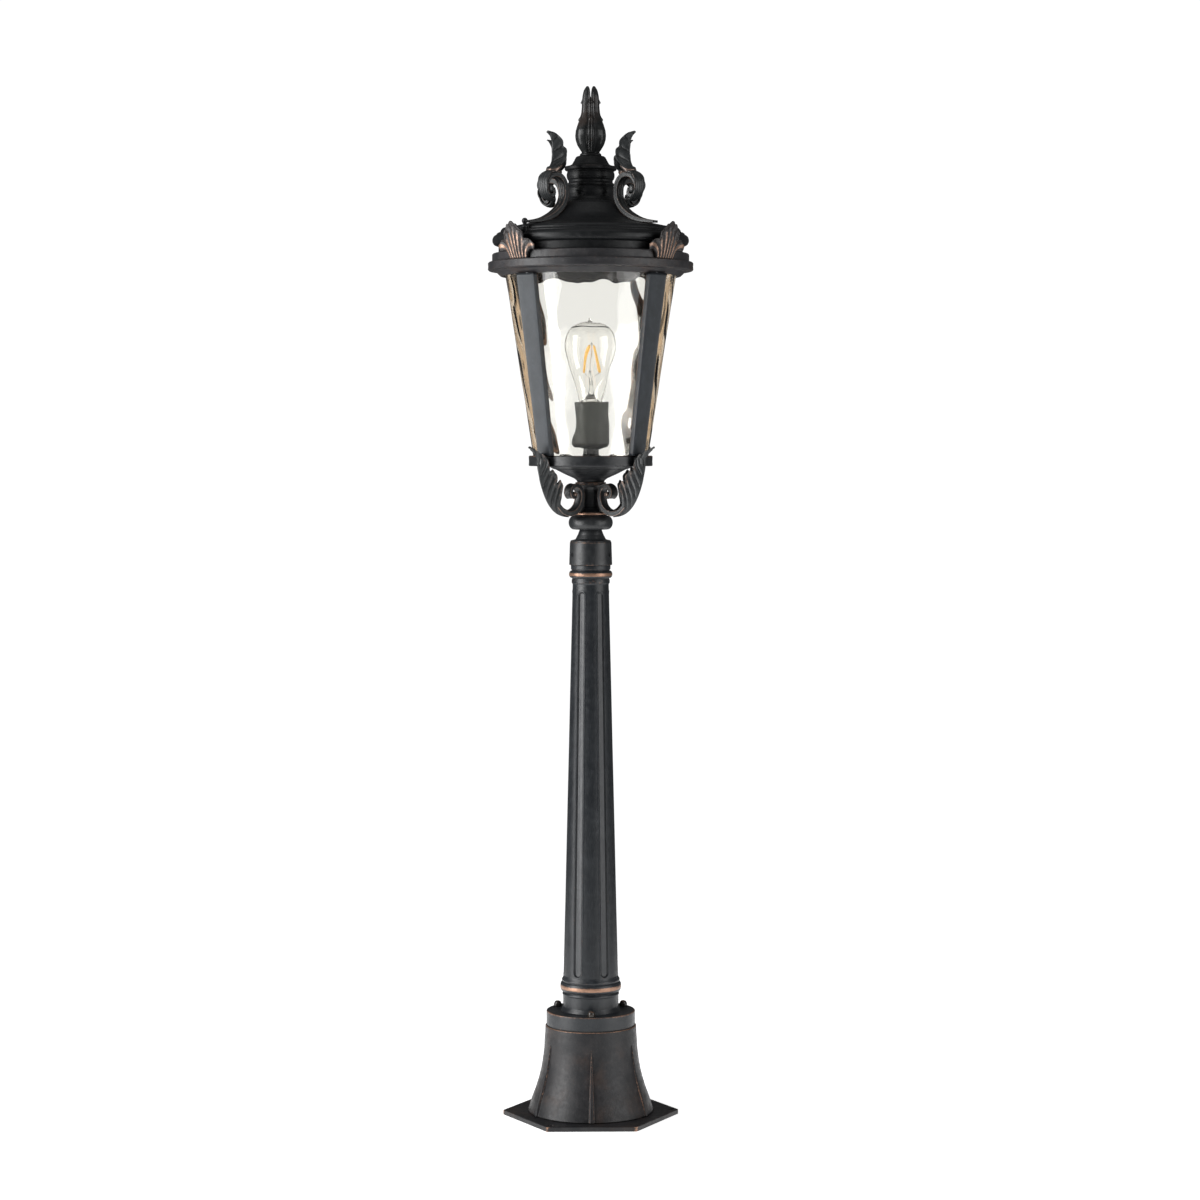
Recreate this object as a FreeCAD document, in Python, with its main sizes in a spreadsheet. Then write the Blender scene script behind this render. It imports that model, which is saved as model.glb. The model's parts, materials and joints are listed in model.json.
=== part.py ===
# One-light post lantern: a hexagonal cast foot with a bell-shaped wiring
# chamber, a tapered fluted post, and a round four-rib lantern with a tapered
# glass shade, a hinged ogee roof, scroll brackets and a bud finial.
#
# Frame: +Z up, origin at the centre of the foot's underside, front is -Y,
# +X to the right.  Millimetres.
import FreeCAD, Part
import math
import os
from FreeCAD import Vector, Rotation, Placement

doc = FreeCAD.newDocument("post_lantern")

# ---------------------------------------------------------------- sizes
SIZES = [
    # foot and bell
    ("foot_corner_radius", 107.6), ("foot_height", 5.8), ("foot_opening_radius", 67.5),
    ("anchor_circle_radius", 98.3), ("anchor_hole_radius", 3.5),
    ("bell_foot_radius", 74.9), ("bell_foot_height", 12.4),
    ("bell_low_radius", 63.4), ("bell_low_height", 47.1),
    ("bell_mid_radius", 57.9), ("bell_mid_height", 76.9),
    ("bell_top_radius", 55.6), ("bell_top_height", 111.5),
    ("bell_wall", 5.0), ("deck_thickness", 6.0), ("deck_hole_radius", 16.0),
    ("stud_circle_radius", 46.6), ("stud_radius", 2.9), ("stud_hole_radius", 3.2),
    ("nut_radius", 4.2),
    # column
    ("flange_gasket_top", 112.6), ("flange_radius", 54.2), ("flange_top", 129.5),
    ("flange_deck", 6.0), ("neck_radius", 33.5), ("neck_flare_radius", 36.2),
    ("lower_torus_radius", 37.25), ("lower_torus_base", 153.6), ("lower_torus_top", 165.3),
    ("shaft_base_height", 175.8), ("shaft_base_radius", 33.2),
    ("shaft_top_height", 651.7), ("shaft_top_radius", 22.0),
    ("flute_cutter_radius", 7.6), ("flute_depth", 1.5),
    ("flute_low_height", 173.9), ("flute_high_height", 643.5),
    ("upper_torus_radius", 26.4), ("upper_torus_base", 659.2), ("upper_torus_top", 668.3),
    ("shoulder_height", 675.0), ("spigot_radius", 19.6), ("spigot_top", 700.0),
    ("post_bore_radius", 15.0), ("post_bore_low_radius", 28.0),
    # lantern foot
    ("collar_radius", 26.1), ("collar_bore_radius", 20.0), ("collar_top", 704.9),
    ("cone_top_radius", 13.3), ("cone_top", 718.0), ("tube_radius", 6.5),
    ("tube_bore_radius", 5.2), ("tube_clear_radius", 6.7),
    ("bead_radius", 26.85), ("bead_top", 735.0), ("bead_ring_radius", 20.9), ("bead_ring_top", 739.5),
    ("spool_waist_radius", 10.95), ("spool_top", 775.7), ("spool_ring_radius", 18.6),
    ("bowl_rim_height", 794.6), ("bowl_rim_radius", 50.5),
    # cage
    ("lower_ring_radius", 75.25), ("lower_ring_base", 795.1), ("lower_ring_top", 807.7),
    ("glass_base_height", 804.0), ("glass_top_height", 1027.0),
    ("glass_base_radius", 69.2), ("glass_top_radius", 103.3), ("glass_wall", 3.2),
    ("rib_top_height", 1024.0), ("rib_base_width", 21.5), ("rib_top_width", 29.5),
    ("rib_base_inner", 70.7), ("rib_base_outer", 80.2), ("rib_top_inner", 103.5), ("rib_top_outer", 112.3),
    ("top_ring_radius", 124.2), ("top_ring_base", 1030.5), ("top_ring_top", 1040.7),
    ("step_radius", 119.1), ("step_top", 1050.8), ("cage_mouth_radius", 97.0),
    # roof
    ("roof_neck_radius", 111.3), ("roof_edge_radius", 118.8), ("roof_edge_base", 1061.2),
    ("roof_edge_top", 1072.8), ("roof_wall", 3.0),
    ("drum_base", 1113.5), ("drum_top", 1156.0), ("drum_radius", 29.0), ("drum_bore_radius", 24.0),
    ("cap_top", 1171.5), ("bud_radius", 20.4), ("bud_widest_height", 1193.0), ("overall_height", 1252.5),
    ("rod_radius", 3.0),
    # hinge and latch
    ("hinge_axis_depth", 128.5), ("hinge_axis_height", 1054.0), ("hinge_pin_radius", 1.5),
    ("hinge_knuckle_radius", 3.6), ("latch_circle_radius", 114.4), ("latch_azimuth", 226.4),
    ("latch_shank_radius", 2.4), ("latch_ball_radius", 3.6),
    # lamp
    ("holder_radius", 20.0), ("holder_base", 816.0), ("holder_top", 872.6),
    ("bulb_radius", 31.8), ("bulb_widest_height", 941.0), ("bulb_tip_height", 974.9),
    ("cap_shell_radius", 13.0),
]
sheet = doc.addObject("Spreadsheet::Sheet", "Sizes")
sheet.set("A1", "size")
sheet.set("B1", "millimetres or degrees")
for _row, (_name, _value) in enumerate(SIZES, start=2):
    sheet.set("A%d" % _row, _name)
    sheet.set("B%d" % _row, str(_value))
    sheet.setAlias("B%d" % _row, _name)
doc.recompute()
S = {name: float(sheet.get(name)) for name, _ in SIZES}


def val(spec):
    """A size: a number, a cell's name, or (cell's name, offset)."""
    if isinstance(spec, (int, float)):
        return float(spec)
    if isinstance(spec, str):
        return S[spec]
    return S[spec[0]] + spec[1]


def expr(spec):
    if isinstance(spec, str):
        return "Sizes." + spec
    if isinstance(spec, tuple):
        return "Sizes.%s %s %.4f" % (spec[0], "+" if spec[1] >= 0 else "-", abs(spec[1]))
    return None


# ---------------------------------------------------------------- helpers
NODES = []


def body_of(name, placement=None):
    body = doc.addObject("PartDesign::Body", name)
    body.Label = name
    if placement is not None:
        body.Placement = placement
    NODES.append(body)
    return body


def plane_of(body, role):
    for feature in body.Origin.OriginFeatures:
        if feature.Role == role:
            return feature
    raise ValueError(role)


def sketch_on(body, name, role, offset=None):
    sketch = body.newObject("Sketcher::SketchObject", name)
    sketch.AttachmentSupport = [(plane_of(body, role), "")]
    sketch.MapMode = "FlatFace"
    if offset is not None:
        sketch.AttachmentOffset = Placement(Vector(0, 0, val(offset)), Rotation())
        if expr(offset):
            sketch.setExpression("AttachmentOffset.Base.z", expr(offset))
    return sketch


def outline(sketch, points):
    """A closed outline.  Each point is (x, y) or (x, y, bulge): bulge is the
    sagitta of the arc to the next point, to the left of travel."""
    import Sketcher
    flat = [(val(p[0]), val(p[1])) for p in points]
    count = len(flat)
    ends = []
    for i in range(count):
        a = Vector(flat[i][0], flat[i][1], 0)
        b = Vector(flat[(i + 1) % count][0], flat[(i + 1) % count][1], 0)
        bulge = points[i][2] if len(points[i]) > 2 else 0.0
        if abs(bulge) < 1e-9:
            sketch.addGeometry(Part.LineSegment(a, b), False)
            ends.append((1, 2))
            continue
        chord = b - a
        half = chord.Length / 2.0
        radius = (half * half + bulge * bulge) / (2.0 * abs(bulge))
        left = Vector(-chord.y, chord.x, 0).normalize()
        centre = (a + b) * 0.5 + left * (bulge - math.copysign(radius, bulge))
        ang_a = math.atan2(a.y - centre.y, a.x - centre.x)
        ang_b = math.atan2(b.y - centre.y, b.x - centre.x)
        circle = Part.Circle(centre, Vector(0, 0, 1), radius)
        if bulge < 0:      # runs counter-clockwise from a to b
            if ang_b < ang_a:
                ang_b += 2 * math.pi
            sketch.addGeometry(Part.ArcOfCircle(circle, ang_a, ang_b), False)
            ends.append((1, 2))
        else:
            if ang_a < ang_b:
                ang_a += 2 * math.pi
            sketch.addGeometry(Part.ArcOfCircle(circle, ang_b, ang_a), False)
            ends.append((2, 1))
    constraints = []
    bound = []
    for i in range(count):
        j = (i + 1) % count
        constraints.append(Sketcher.Constraint("Coincident", i, ends[i][1], j, ends[j][0]))
    for i in range(count):
        for axis, spec in (("X", points[i][0]), ("Y", points[i][1])):
            number = val(spec)
            if abs(number) < 1e-9:
                constraints.append(Sketcher.Constraint("PointOnObject", i, ends[i][0], -2 if axis == "X" else -1))
            else:
                constraints.append(Sketcher.Constraint("Distance" + axis, -1, 1, i, ends[i][0], number))
                if expr(spec):
                    bound.append((len(constraints) - 1, expr(spec)))
    sketch.addConstraint(constraints)
    for index, text in bound:
        sketch.setExpression("Constraints[%d]" % index, text)


def circles(sketch, centres, radius):
    import Sketcher
    for x, y in centres:
        g = sketch.addGeometry(Part.Circle(Vector(x, y, 0), Vector(0, 0, 1), val(radius)), False)
        for axis, number in (("X", x), ("Y", y)):
            if abs(number) < 1e-9:
                sketch.addConstraint(Sketcher.Constraint("PointOnObject", g, 3, -2 if axis == "X" else -1))
            else:
                sketch.addConstraint(Sketcher.Constraint("Distance" + axis, -1, 1, g, 3, number))
        k = sketch.addConstraint(Sketcher.Constraint("Radius", g, val(radius)))
        if expr(radius):
            sketch.setExpression("Constraints[%d]" % k, expr(radius))


def turned(name, points, placement=None, body=None, feature="Turned"):
    """A body of revolution about Z, from a closed outline in (radius, height)."""
    body = body or body_of(name, placement)
    sketch = sketch_on(body, name + "_" + feature + "_outline", "XZ_Plane")
    outline(sketch, points)
    rev = body.newObject("PartDesign::Revolution", name + "_" + feature)
    rev.Profile = sketch
    rev.ReferenceAxis = (sketch, ["V_Axis"])
    rev.Angle = 360.0
    return body


def padded(body, name, sketch, length, reversed_=False, midplane=False):
    pad = body.newObject("PartDesign::Pad", name)
    pad.Profile = sketch
    pad.Length = val(length)
    if expr(length):
        pad.setExpression("Length", expr(length))
    pad.Reversed = reversed_
    if midplane:
        pad.Midplane = True
    return pad


def pocketed(body, name, sketch, length, reversed_=False, midplane=False):
    """A pocket, which must remove material."""
    doc.recompute()
    before = body.Shape.Volume
    pocket = body.newObject("PartDesign::Pocket", name)
    pocket.Profile = sketch
    pocket.Length = val(length)
    if expr(length):
        pocket.setExpression("Length", expr(length))
    pocket.Reversed = reversed_
    if midplane:
        pocket.Midplane = True
    doc.recompute()
    if body.Shape.Volume > before - 0.5:
        raise ValueError("pocket %s cut nothing" % name)
    return pocket


def polar(body, name, feature, count):
    pattern = body.newObject("PartDesign::PolarPattern", name)
    pattern.Originals = [feature]
    pattern.Axis = (plane_axis(body, "Z_Axis"), [""])
    pattern.Angle = 360.0
    pattern.Occurrences = count
    body.Tip = pattern
    return pattern


def plane_axis(body, role):
    for feature in body.Origin.OriginFeatures:
        if feature.Role == role:
            return feature
    raise ValueError(role)


def free(name, shape, placement=None):
    """A node whose shape is set directly."""
    feature = doc.addObject("Part::Feature", name)
    feature.Label = name
    feature.Shape = shape
    if placement is not None:
        feature.Placement = placement
    NODES.append(feature)
    return feature


def about_z(angle):
    return Placement(Vector(0, 0, 0), Rotation(Vector(0, 0, 1), angle))


def on_circle(radius, angles):
    return [(radius * math.cos(math.radians(a)), radius * math.sin(math.radians(a))) for a in angles]


def smooth_path(points, per=6):
    """Points on a Catmull-Rom curve through the given (x, y) points."""
    out = []
    n = len(points)
    for i in range(n - 1):
        p0 = points[max(i - 1, 0)]
        p1, p2 = points[i], points[i + 1]
        p3 = points[min(i + 2, n - 1)]
        for k in range(per):
            t = k / float(per)
            out.append(tuple(
                0.5 * (2 * p1[c] + (p2[c] - p0[c]) * t + (2 * p0[c] - 5 * p1[c] + 4 * p2[c] - p3[c]) * t * t
                       + (3 * p1[c] - p0[c] - 3 * p2[c] + p3[c]) * t ** 3) for c in (0, 1)))
    out.append(points[-1])
    return out


def strap(points, thick_start, thick_mid, thick_end, width):
    """A flat bar bent along a curve in the XZ plane, centred on Y = 0."""
    path = smooth_path(points)
    n = len(path)
    left, right = [], []
    for i, (x, z) in enumerate(path):
        a, b = path[max(i - 1, 0)], path[min(i + 1, n - 1)]
        dx, dz = b[0] - a[0], b[1] - a[1]
        length = math.hypot(dx, dz)
        nx, nz = -dz / length, dx / length
        u = i / float(n - 1)
        t = thick_start + (thick_mid - thick_start) * min(1.0, u / 0.25) if u < 0.5 else \
            thick_mid + (thick_end - thick_mid) * (u - 0.5) / 0.5
        left.append(Vector(x + nx * t / 2, -width / 2.0, z + nz * t / 2))
        right.append(Vector(x - nx * t / 2, -width / 2.0, z - nz * t / 2))
    one = Part.BSplineCurve()
    one.interpolate(left)
    two = Part.BSplineCurve()
    two.interpolate(right)
    wire = Part.Wire([one.toShape(), Part.LineSegment(left[-1], right[-1]).toShape(),
                      two.toShape(), Part.LineSegment(right[0], left[0]).toShape()])
    return Part.Face(wire).extrude(Vector(0, width, 0))


def leaf(stations):
    """A folded leaf blade lofted through stations of (x, z, nx, nz, half width,
    fold depth, thickness): (nx, nz) points to the leaf's outer side."""
    wires = []
    for x, z, nx, nz, half, fold, thick in stations:
        length = math.hypot(nx, nz)
        nx, nz = nx / length, nz / length
        c = Vector(x, 0, z)
        out = Vector(nx, 0, nz)
        side = Vector(0, 1, 0)
        p = [c, c - out * fold + side * half, c - out * (fold + thick * 0.7) + side * half,
             c - out * thick, c - out * (fold + thick * 0.7) - side * half, c - out * fold - side * half]
        wires.append(Part.makePolygon(p + [p[0]]))
    return Part.makeLoft(wires, True, True)


# ================================================================ foot and bell
base = body_of("base_casting")
sk = sketch_on(base, "foot_hexagon", "XY_Plane")
_R = S["foot_corner_radius"]
outline(sk, [(x, y) for x, y in on_circle(_R, (0, 60, 120, 180, 240, 300))])
padded(base, "foot_plate", sk, "foot_height")
turned("base_casting", [
    ("foot_opening_radius", ("foot_height", -0.8)),
    ("bell_foot_radius", ("foot_height", -0.8)),
    ("bell_foot_radius", "bell_foot_height", 1.3),
    ("bell_low_radius", "bell_low_height", 0.8),
    ("bell_mid_radius", "bell_mid_height", 0.35),
    ("bell_top_radius", ("bell_top_height", -0.6)),
    (("bell_top_radius", -0.6), "bell_top_height"),
    ("deck_hole_radius", "bell_top_height"),
    ("deck_hole_radius", ("bell_top_height", -6.0)),
    (("bell_top_radius", -5.2), ("bell_top_height", -6.0)),
    (("bell_mid_radius", -5.0), "bell_mid_height"),
    (("bell_low_radius", -5.2), "bell_low_height"),
    ("foot_opening_radius", ("bell_foot_height", 4.0)),
], body=base, feature="bell")
# six tapered V ridges run up the bell from the middle of each side of the foot
_ridge = base.newObject("PartDesign::AdditiveLoft", "bell_ridge")
_stations = [(5.0, 78.6, 4.4), (20.0, 75.2, 3.7), (38.0, 69.4, 3.0), (58.0, 63.0, 2.1), (78.0, 58.9, 1.2), (91.0, 57.0, 0.35)]
_ridge_sketches = []
for _i, (_z, _r, _h) in enumerate(_stations):
    s2 = sketch_on(base, "ridge_section_%d" % _i, "XY_Plane", _z)
    _in = _r - (6.5 if _z > 10 else 7.0)
    outline(s2, [(_in, -_h * 1.6), (_r, -0.22), (_r, 0.22), (_in, _h * 1.6)])
    _ridge_sketches.append(s2)
_ridge.Profile = _ridge_sketches[0]
_ridge.Sections = _ridge_sketches[1:]
_ridge.Ruled = True
doc.recompute()
polar(base, "bell_ridges", _ridge, 6)
# ridges stand on the middle of the foot's sides, so the pattern starts at 30 degrees
for s2, (_z, _r, _h) in zip(_ridge_sketches, _stations):
    s2.AttachmentOffset = Placement(Vector(0, 0, _z), Rotation(Vector(0, 0, 1), 30))
doc.recompute()
sk = sketch_on(base, "foot_opening", "XY_Plane")
circles(sk, [(0, 0)], "foot_opening_radius")
pocketed(base, "foot_opening_cut", sk, "foot_height", reversed_=True)
sk = sketch_on(base, "anchor_holes", "XY_Plane")
circles(sk, on_circle(S["anchor_circle_radius"], (0, 120, 240)), "anchor_hole_radius")
pocketed(base, "anchor_holes_cut", sk, ("foot_height", 1.0), reversed_=True)
sk = sketch_on(base, "stud_holes", "XY_Plane", ("bell_top_height", 1.0))
circles(sk, on_circle(S["stud_circle_radius"], (30, 150, 270)), "stud_radius")
pocketed(base, "stud_holes_cut", sk, 5.5)

# sealing ring between the bell and the post's flange
turned("flange_gasket", [(49.8, "bell_top_height"), ("flange_radius", "bell_top_height"),
                         ("flange_radius", "flange_gasket_top"), (49.8, "flange_gasket_top")])

# three studs fixed in the bell's deck, and the domed nuts on them
_studs = body_of("flange_studs")
sk = sketch_on(_studs, "studs", "XY_Plane", ("bell_top_height", -4.5))
circles(sk, on_circle(S["stud_circle_radius"], (30, 150, 270)), "stud_radius")
padded(_studs, "stud_pad", sk, 25.2)
_nut = []
for _x, _y in on_circle(S["stud_circle_radius"], (30, 150, 270)):
    hexa = Part.makePolygon([Vector(_x + 4.9 * math.cos(math.radians(a)), _y + 4.9 * math.sin(math.radians(a)), S["flange_top"])
                             for a in (0, 60, 120, 180, 240, 300, 0)])
    n_ = Part.Face(hexa).extrude(Vector(0, 0, 3.6))
    dome = Part.makeSphere(S["nut_radius"], Vector(_x, _y, S["flange_top"] + 3.4))
    below = Part.makeBox(20, 20, 10, Vector(_x - 10, _y - 10, S["flange_top"] - 6.6))
    n_ = n_.fuse(dome.cut(below)).removeSplitter()
    _nut.append(n_.cut(Part.makeCylinder(S["stud_radius"] + 0.02, 6.0, Vector(_x, _y, S["flange_top"] - 3.0))))
free("flange_cap_nuts", Part.makeCompound(_nut))

# ================================================================ wiring chamber
# terminal block on a steel strap that hangs from the deck, and a rubber grommet
# where the lead passes into the post
_br = body_of("terminal_bracket")
sk = sketch_on(_br, "bracket_side", "XZ_Plane")
outline(sk, [(-44.0, 105.5), (-30.0, 105.5), (-30.0, 103.9), (-42.4, 103.9), (-42.4, 35.6), (-19.0, 35.6),
             (-19.0, 34.0), (-44.0, 34.0)])
padded(_br, "bracket_pad", sk, 16.0, midplane=True)
_tb = body_of("terminal_block")
sk = sketch_on(_tb, "block_side", "XZ_Plane")
outline(sk, [(-34, 35.7), (-19, 35.7), (-19, 45), (-21, 49.0), (-31, 49.0), (-34, 45)])
padded(_tb, "block_pad", sk, 34.0, midplane=True)
sk = sketch_on(_tb, "block_ways", "XY_Plane", 50.0)
circles(sk, [(-26, -11.0), (-26, 11.0)], 2.6)
pocketed(_tb, "block_ways_cut", sk, 6.0)
turned("cable_grommet", [(7.0, 102.0), (18.5, 102.0), (18.5, 105.5), (15.9, 105.5), (15.9, 111.5), (18.5, 111.5),
                         (18.5, 114.0), (7.0, 114.0)])

# ================================================================ post
turned("column", [
    (50.0, "flange_gasket_top"), ("flange_radius", "flange_gasket_top"),
    ("flange_radius", ("flange_top", -1.2), -0.3), (("flange_radius", -1.2), "flange_top"),
    ("neck_flare_radius", "flange_top"), (("neck_radius", 0.3), 134.5),
    ("neck_radius", 147.0), (34.0, 148.6, -0.8), (34.0, 152.2), (34.9, "lower_torus_base", -2.35),
    (34.9, "lower_torus_top"), (35.4, 166.2), (35.4, 168.6), (34.0, 170.6),
    ("shaft_base_radius", "shaft_base_height"), ("shaft_top_radius", "shaft_top_height"),
    (23.1, 653.0), (23.1, 657.4), (22.9, "upper_torus_base", -3.5), (22.9, "upper_torus_top"),
    (24.0, 669.6), (24.0, "shoulder_height"), ("spigot_radius", "shoulder_height"),
    ("spigot_radius", "spigot_top"), ("post_bore_radius", "spigot_top"),
    ("post_bore_radius", 640.0), ("post_bore_low_radius", 172.0), ("post_bore_low_radius", 123.5),
    (50.0, 123.5),
])
# flutes: six round-ended grooves that follow the taper
_slope = (S["shaft_base_radius"] - S["shaft_top_radius"]) / (S["shaft_top_height"] - S["shaft_base_height"])


def _shaft_radius(z):
    return S["shaft_base_radius"] - _slope * (z - S["shaft_base_height"])


_fr, _fd = S["flute_cutter_radius"], S["flute_depth"]
_z0, _z1 = S["flute_low_height"] + 5.2, S["flute_high_height"] - 5.2
_flutes = []
for _k in range(6):
    c0 = Vector(_shaft_radius(_z0) - _fd + _fr, 0, _z0)
    c1 = Vector(_shaft_radius(_z1) - _fd + _fr, 0, _z1)
    axis = c1 - c0
    tool = Part.makeCylinder(_fr, axis.Length, c0, axis).fuse([Part.makeSphere(_fr, c0), Part.makeSphere(_fr, c1)])
    tool = tool.removeSplitter()
    tool.rotate(Vector(0, 0, 0), Vector(0, 0, 1), 60.0 * _k)
    _flutes.append(tool)
_holes = [Part.makeCylinder(S["stud_hole_radius"], 10, Vector(x, y, 121)) for x, y in on_circle(S["stud_circle_radius"], (30, 150, 270))]
doc.recompute()
_fl = doc.addObject("Part::Feature", "flute_cutters")
_fl.Shape = Part.makeCompound(_flutes + _holes)
_blank = NODES.pop()
_blank.Label = "column_blank"
_cut = doc.addObject("Part::Cut", "column")
_cut.Label = "column"
_cut.Base = _blank
_cut.Tool = _fl
doc.recompute()
if _cut.Shape.Volume > _blank.Shape.Volume - 1000:
    raise ValueError("flutes cut nothing")
NODES.append(_cut)

# ================================================================ lantern foot
turned("post_fitter", [
    ("collar_bore_radius", "shoulder_height"), ("collar_radius", "shoulder_height"),
    ("collar_radius", ("shoulder_height", 2.0)), (("collar_radius", -0.8), 702.0),
    (24.0, "collar_top"), (18.1, 706.4), ("cone_top_radius", "cone_top"),
    ("tube_clear_radius", "cone_top"), ("tube_clear_radius", 700.4), ("collar_bore_radius", 700.4),
])
_grub_tools = []
for _a in (90, 210, 330):
    c = Part.makeCylinder(2.6, 12, Vector(16, 0, 688), Vector(1, 0, 0))
    c.rotate(Vector(0, 0, 0), Vector(0, 0, 1), _a)
    _grub_tools.append(c)
_gt = doc.addObject("Part::Feature", "grub_hole_cutters")
_gt.Shape = Part.makeCompound(_grub_tools)
_blank = NODES.pop()
_blank.Label = "post_fitter_blank"
_cut = doc.addObject("Part::Cut", "post_fitter")
_cut.Label = "post_fitter"
_cut.Base = _blank
_cut.Tool = _gt
NODES.append(_cut)
_grubs = []
for _a in (90, 210, 330):
    c = Part.makeCylinder(2.5, 5.4, Vector(S["spigot_radius"] + 0.02, 0, 688), Vector(1, 0, 0))
    c.rotate(Vector(0, 0, 0), Vector(0, 0, 1), _a)
    _grubs.append(c)
free("grub_screws", Part.makeCompound(_grubs))

turned("stem_bead", [
    ("tube_clear_radius", "cone_top"), (20.5, "cone_top", -6.2), (20.5, "bead_top"),
    ("bead_ring_radius", ("bead_top", 0.6)), ("bead_ring_radius", "bead_ring_top"),
    ("tube_clear_radius", "bead_ring_top"),
])
turned("stem_spool", [
    ("tube_clear_radius", "bead_ring_top"), (17.0, "bead_ring_top"), (12.6, 742.4, 0.6), ("spool_waist_radius", 749.0),
    ("spool_waist_radius", 763.0, 0.6), (13.2, 769.4), (16.0, 771.6), ("spool_ring_radius", 772.4),
    ("spool_ring_radius", "spool_top"), ("tube_clear_radius", "spool_top"),
])
turned("bottom_bowl", [
    ("tube_clear_radius", "spool_top"), (16.4, "spool_top"), (20.3, 780.2), (42.4, 790.8),
    ("bowl_rim_radius", "bowl_rim_height"), (61.4, "bowl_rim_height"), (61.4, 801.0), (54.0, 801.0), (54.0, 798.6), (40.0, 797.0),
    (20.0, 786.4), ("tube_clear_radius", 786.4),
])
turned("lower_ring", [
    (62.0, "lower_ring_base"), ("lower_ring_radius", "lower_ring_base"),
    ("lower_ring_radius", ("lower_ring_top", -0.6)), (("lower_ring_radius", -0.6), "lower_ring_top"),
    (70.9, "lower_ring_top"), (70.9, 803.0), (64.0, 803.0), (64.0, 801.2), (62.0, 801.2),
])
_blank = NODES.pop()
_blank.Label = "lower_ring_blank"
_tool = doc.addObject("Part::Feature", "lower_ring_cutters")
_tool.Shape = Part.makeCompound([Part.makeCylinder(1.52, 16.0, Vector(x, y, S["lower_ring_base"] - 2))
                                 for x, y in on_circle(73.05, (-45, 45, 135, 225))])
_cut = doc.addObject("Part::Cut", "lower_ring")
_cut.Label = "lower_ring"
_cut.Base = _blank
_cut.Tool = _tool
NODES.append(_cut)
turned("glass_base_gasket", [(64.2, 803.0), (70.6, 803.0), (70.6, "glass_base_height"), (64.2, "glass_base_height")])

# hollow threaded tube that clamps the lantern foot together and carries the holder
turned("threaded_tube", [("tube_bore_radius", 694.5), ("tube_radius", 694.5), ("tube_radius", 812.0), ("tube_bore_radius", 812.0)])


def _hex_nut(z, height, across, bore):
    r = across / math.sqrt(3)
    hexa = Part.makePolygon([Vector(r * math.cos(math.radians(a)), r * math.sin(math.radians(a)), z) for a in (0, 60, 120, 180, 240, 300, 0)])
    return Part.Face(hexa).extrude(Vector(0, 0, height)).cut(Part.makeCylinder(bore, height + 2, Vector(0, 0, z - 1)))


free("tube_nuts", Part.makeCompound([_hex_nut(695.4, 4.0, 17.0, 6.52), _hex_nut(786.4, 4.0, 17.0, 6.52)]))

# ================================================================ cage
NAMES4 = (("front_right", -45.0), ("back_right", 45.0), ("back_left", 135.0), ("front_left", 225.0))
turned("glass_shade", [
    (("glass_base_radius", -3.2), "glass_base_height"), ("glass_base_radius", "glass_base_height"),
    ("glass_top_radius", "glass_top_height"), (("glass_top_radius", -3.2), "glass_top_height"),
])
turned("glass_top_gasket", [(99.0, "glass_top_height"), (104.6, "glass_top_height"), (104.6, 1028.4), (99.0, 1028.4)])
turned("cage_top_ring", [
    (104.9, "rib_top_height"), (108.9, "rib_top_height"), (114.5, 1029.4), (116.2, 1030.0), (123.0, "top_ring_base"),
    ("top_ring_radius", ("top_ring_base", 1.2)), ("top_ring_radius", ("top_ring_top", -1.2), 0.3),
    (("top_ring_radius", -1.2), "top_ring_top"), ("step_radius", "top_ring_top"),
    ("step_radius", ("step_top", -0.8)), (("step_radius", -0.8), "step_top"), ("cage_mouth_radius", "step_top"),
    ("cage_mouth_radius", 1028.4), (104.9, 1028.4),
])
_blank = NODES.pop()
_blank.Label = "cage_top_ring_blank"
_la = math.radians(S["latch_azimuth"])
_lx, _ly = S["latch_circle_radius"] * math.cos(_la), S["latch_circle_radius"] * math.sin(_la)
_tool = doc.addObject("Part::Feature", "cage_ring_cutters")
_screw_xy = on_circle(107.4, (-45, 45, 135, 225))
_latch_way = Part.makeCylinder(3.3, 12.4, Vector(_lx, _ly, S["step_top"] - 11.4))
_tool.Shape = Part.makeCompound(
    [Part.makeCylinder(2.02, 40.0, Vector(x, y, 1015.0)).fuse(Part.makeCylinder(3.6, 8.0, Vector(x, y, 1047.6))).fuse(
        _latch_way) if k == 3 else
     Part.makeCylinder(2.02, 40.0, Vector(x, y, 1015.0)).fuse(Part.makeCylinder(3.6, 8.0, Vector(x, y, 1047.6)))
     for k, (x, y) in enumerate(_screw_xy)])
_cut = doc.addObject("Part::Cut", "cage_top_ring")
_cut.Label = "cage_top_ring"
_cut.Base = _blank
_cut.Tool = _tool
NODES.append(_cut)

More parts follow.
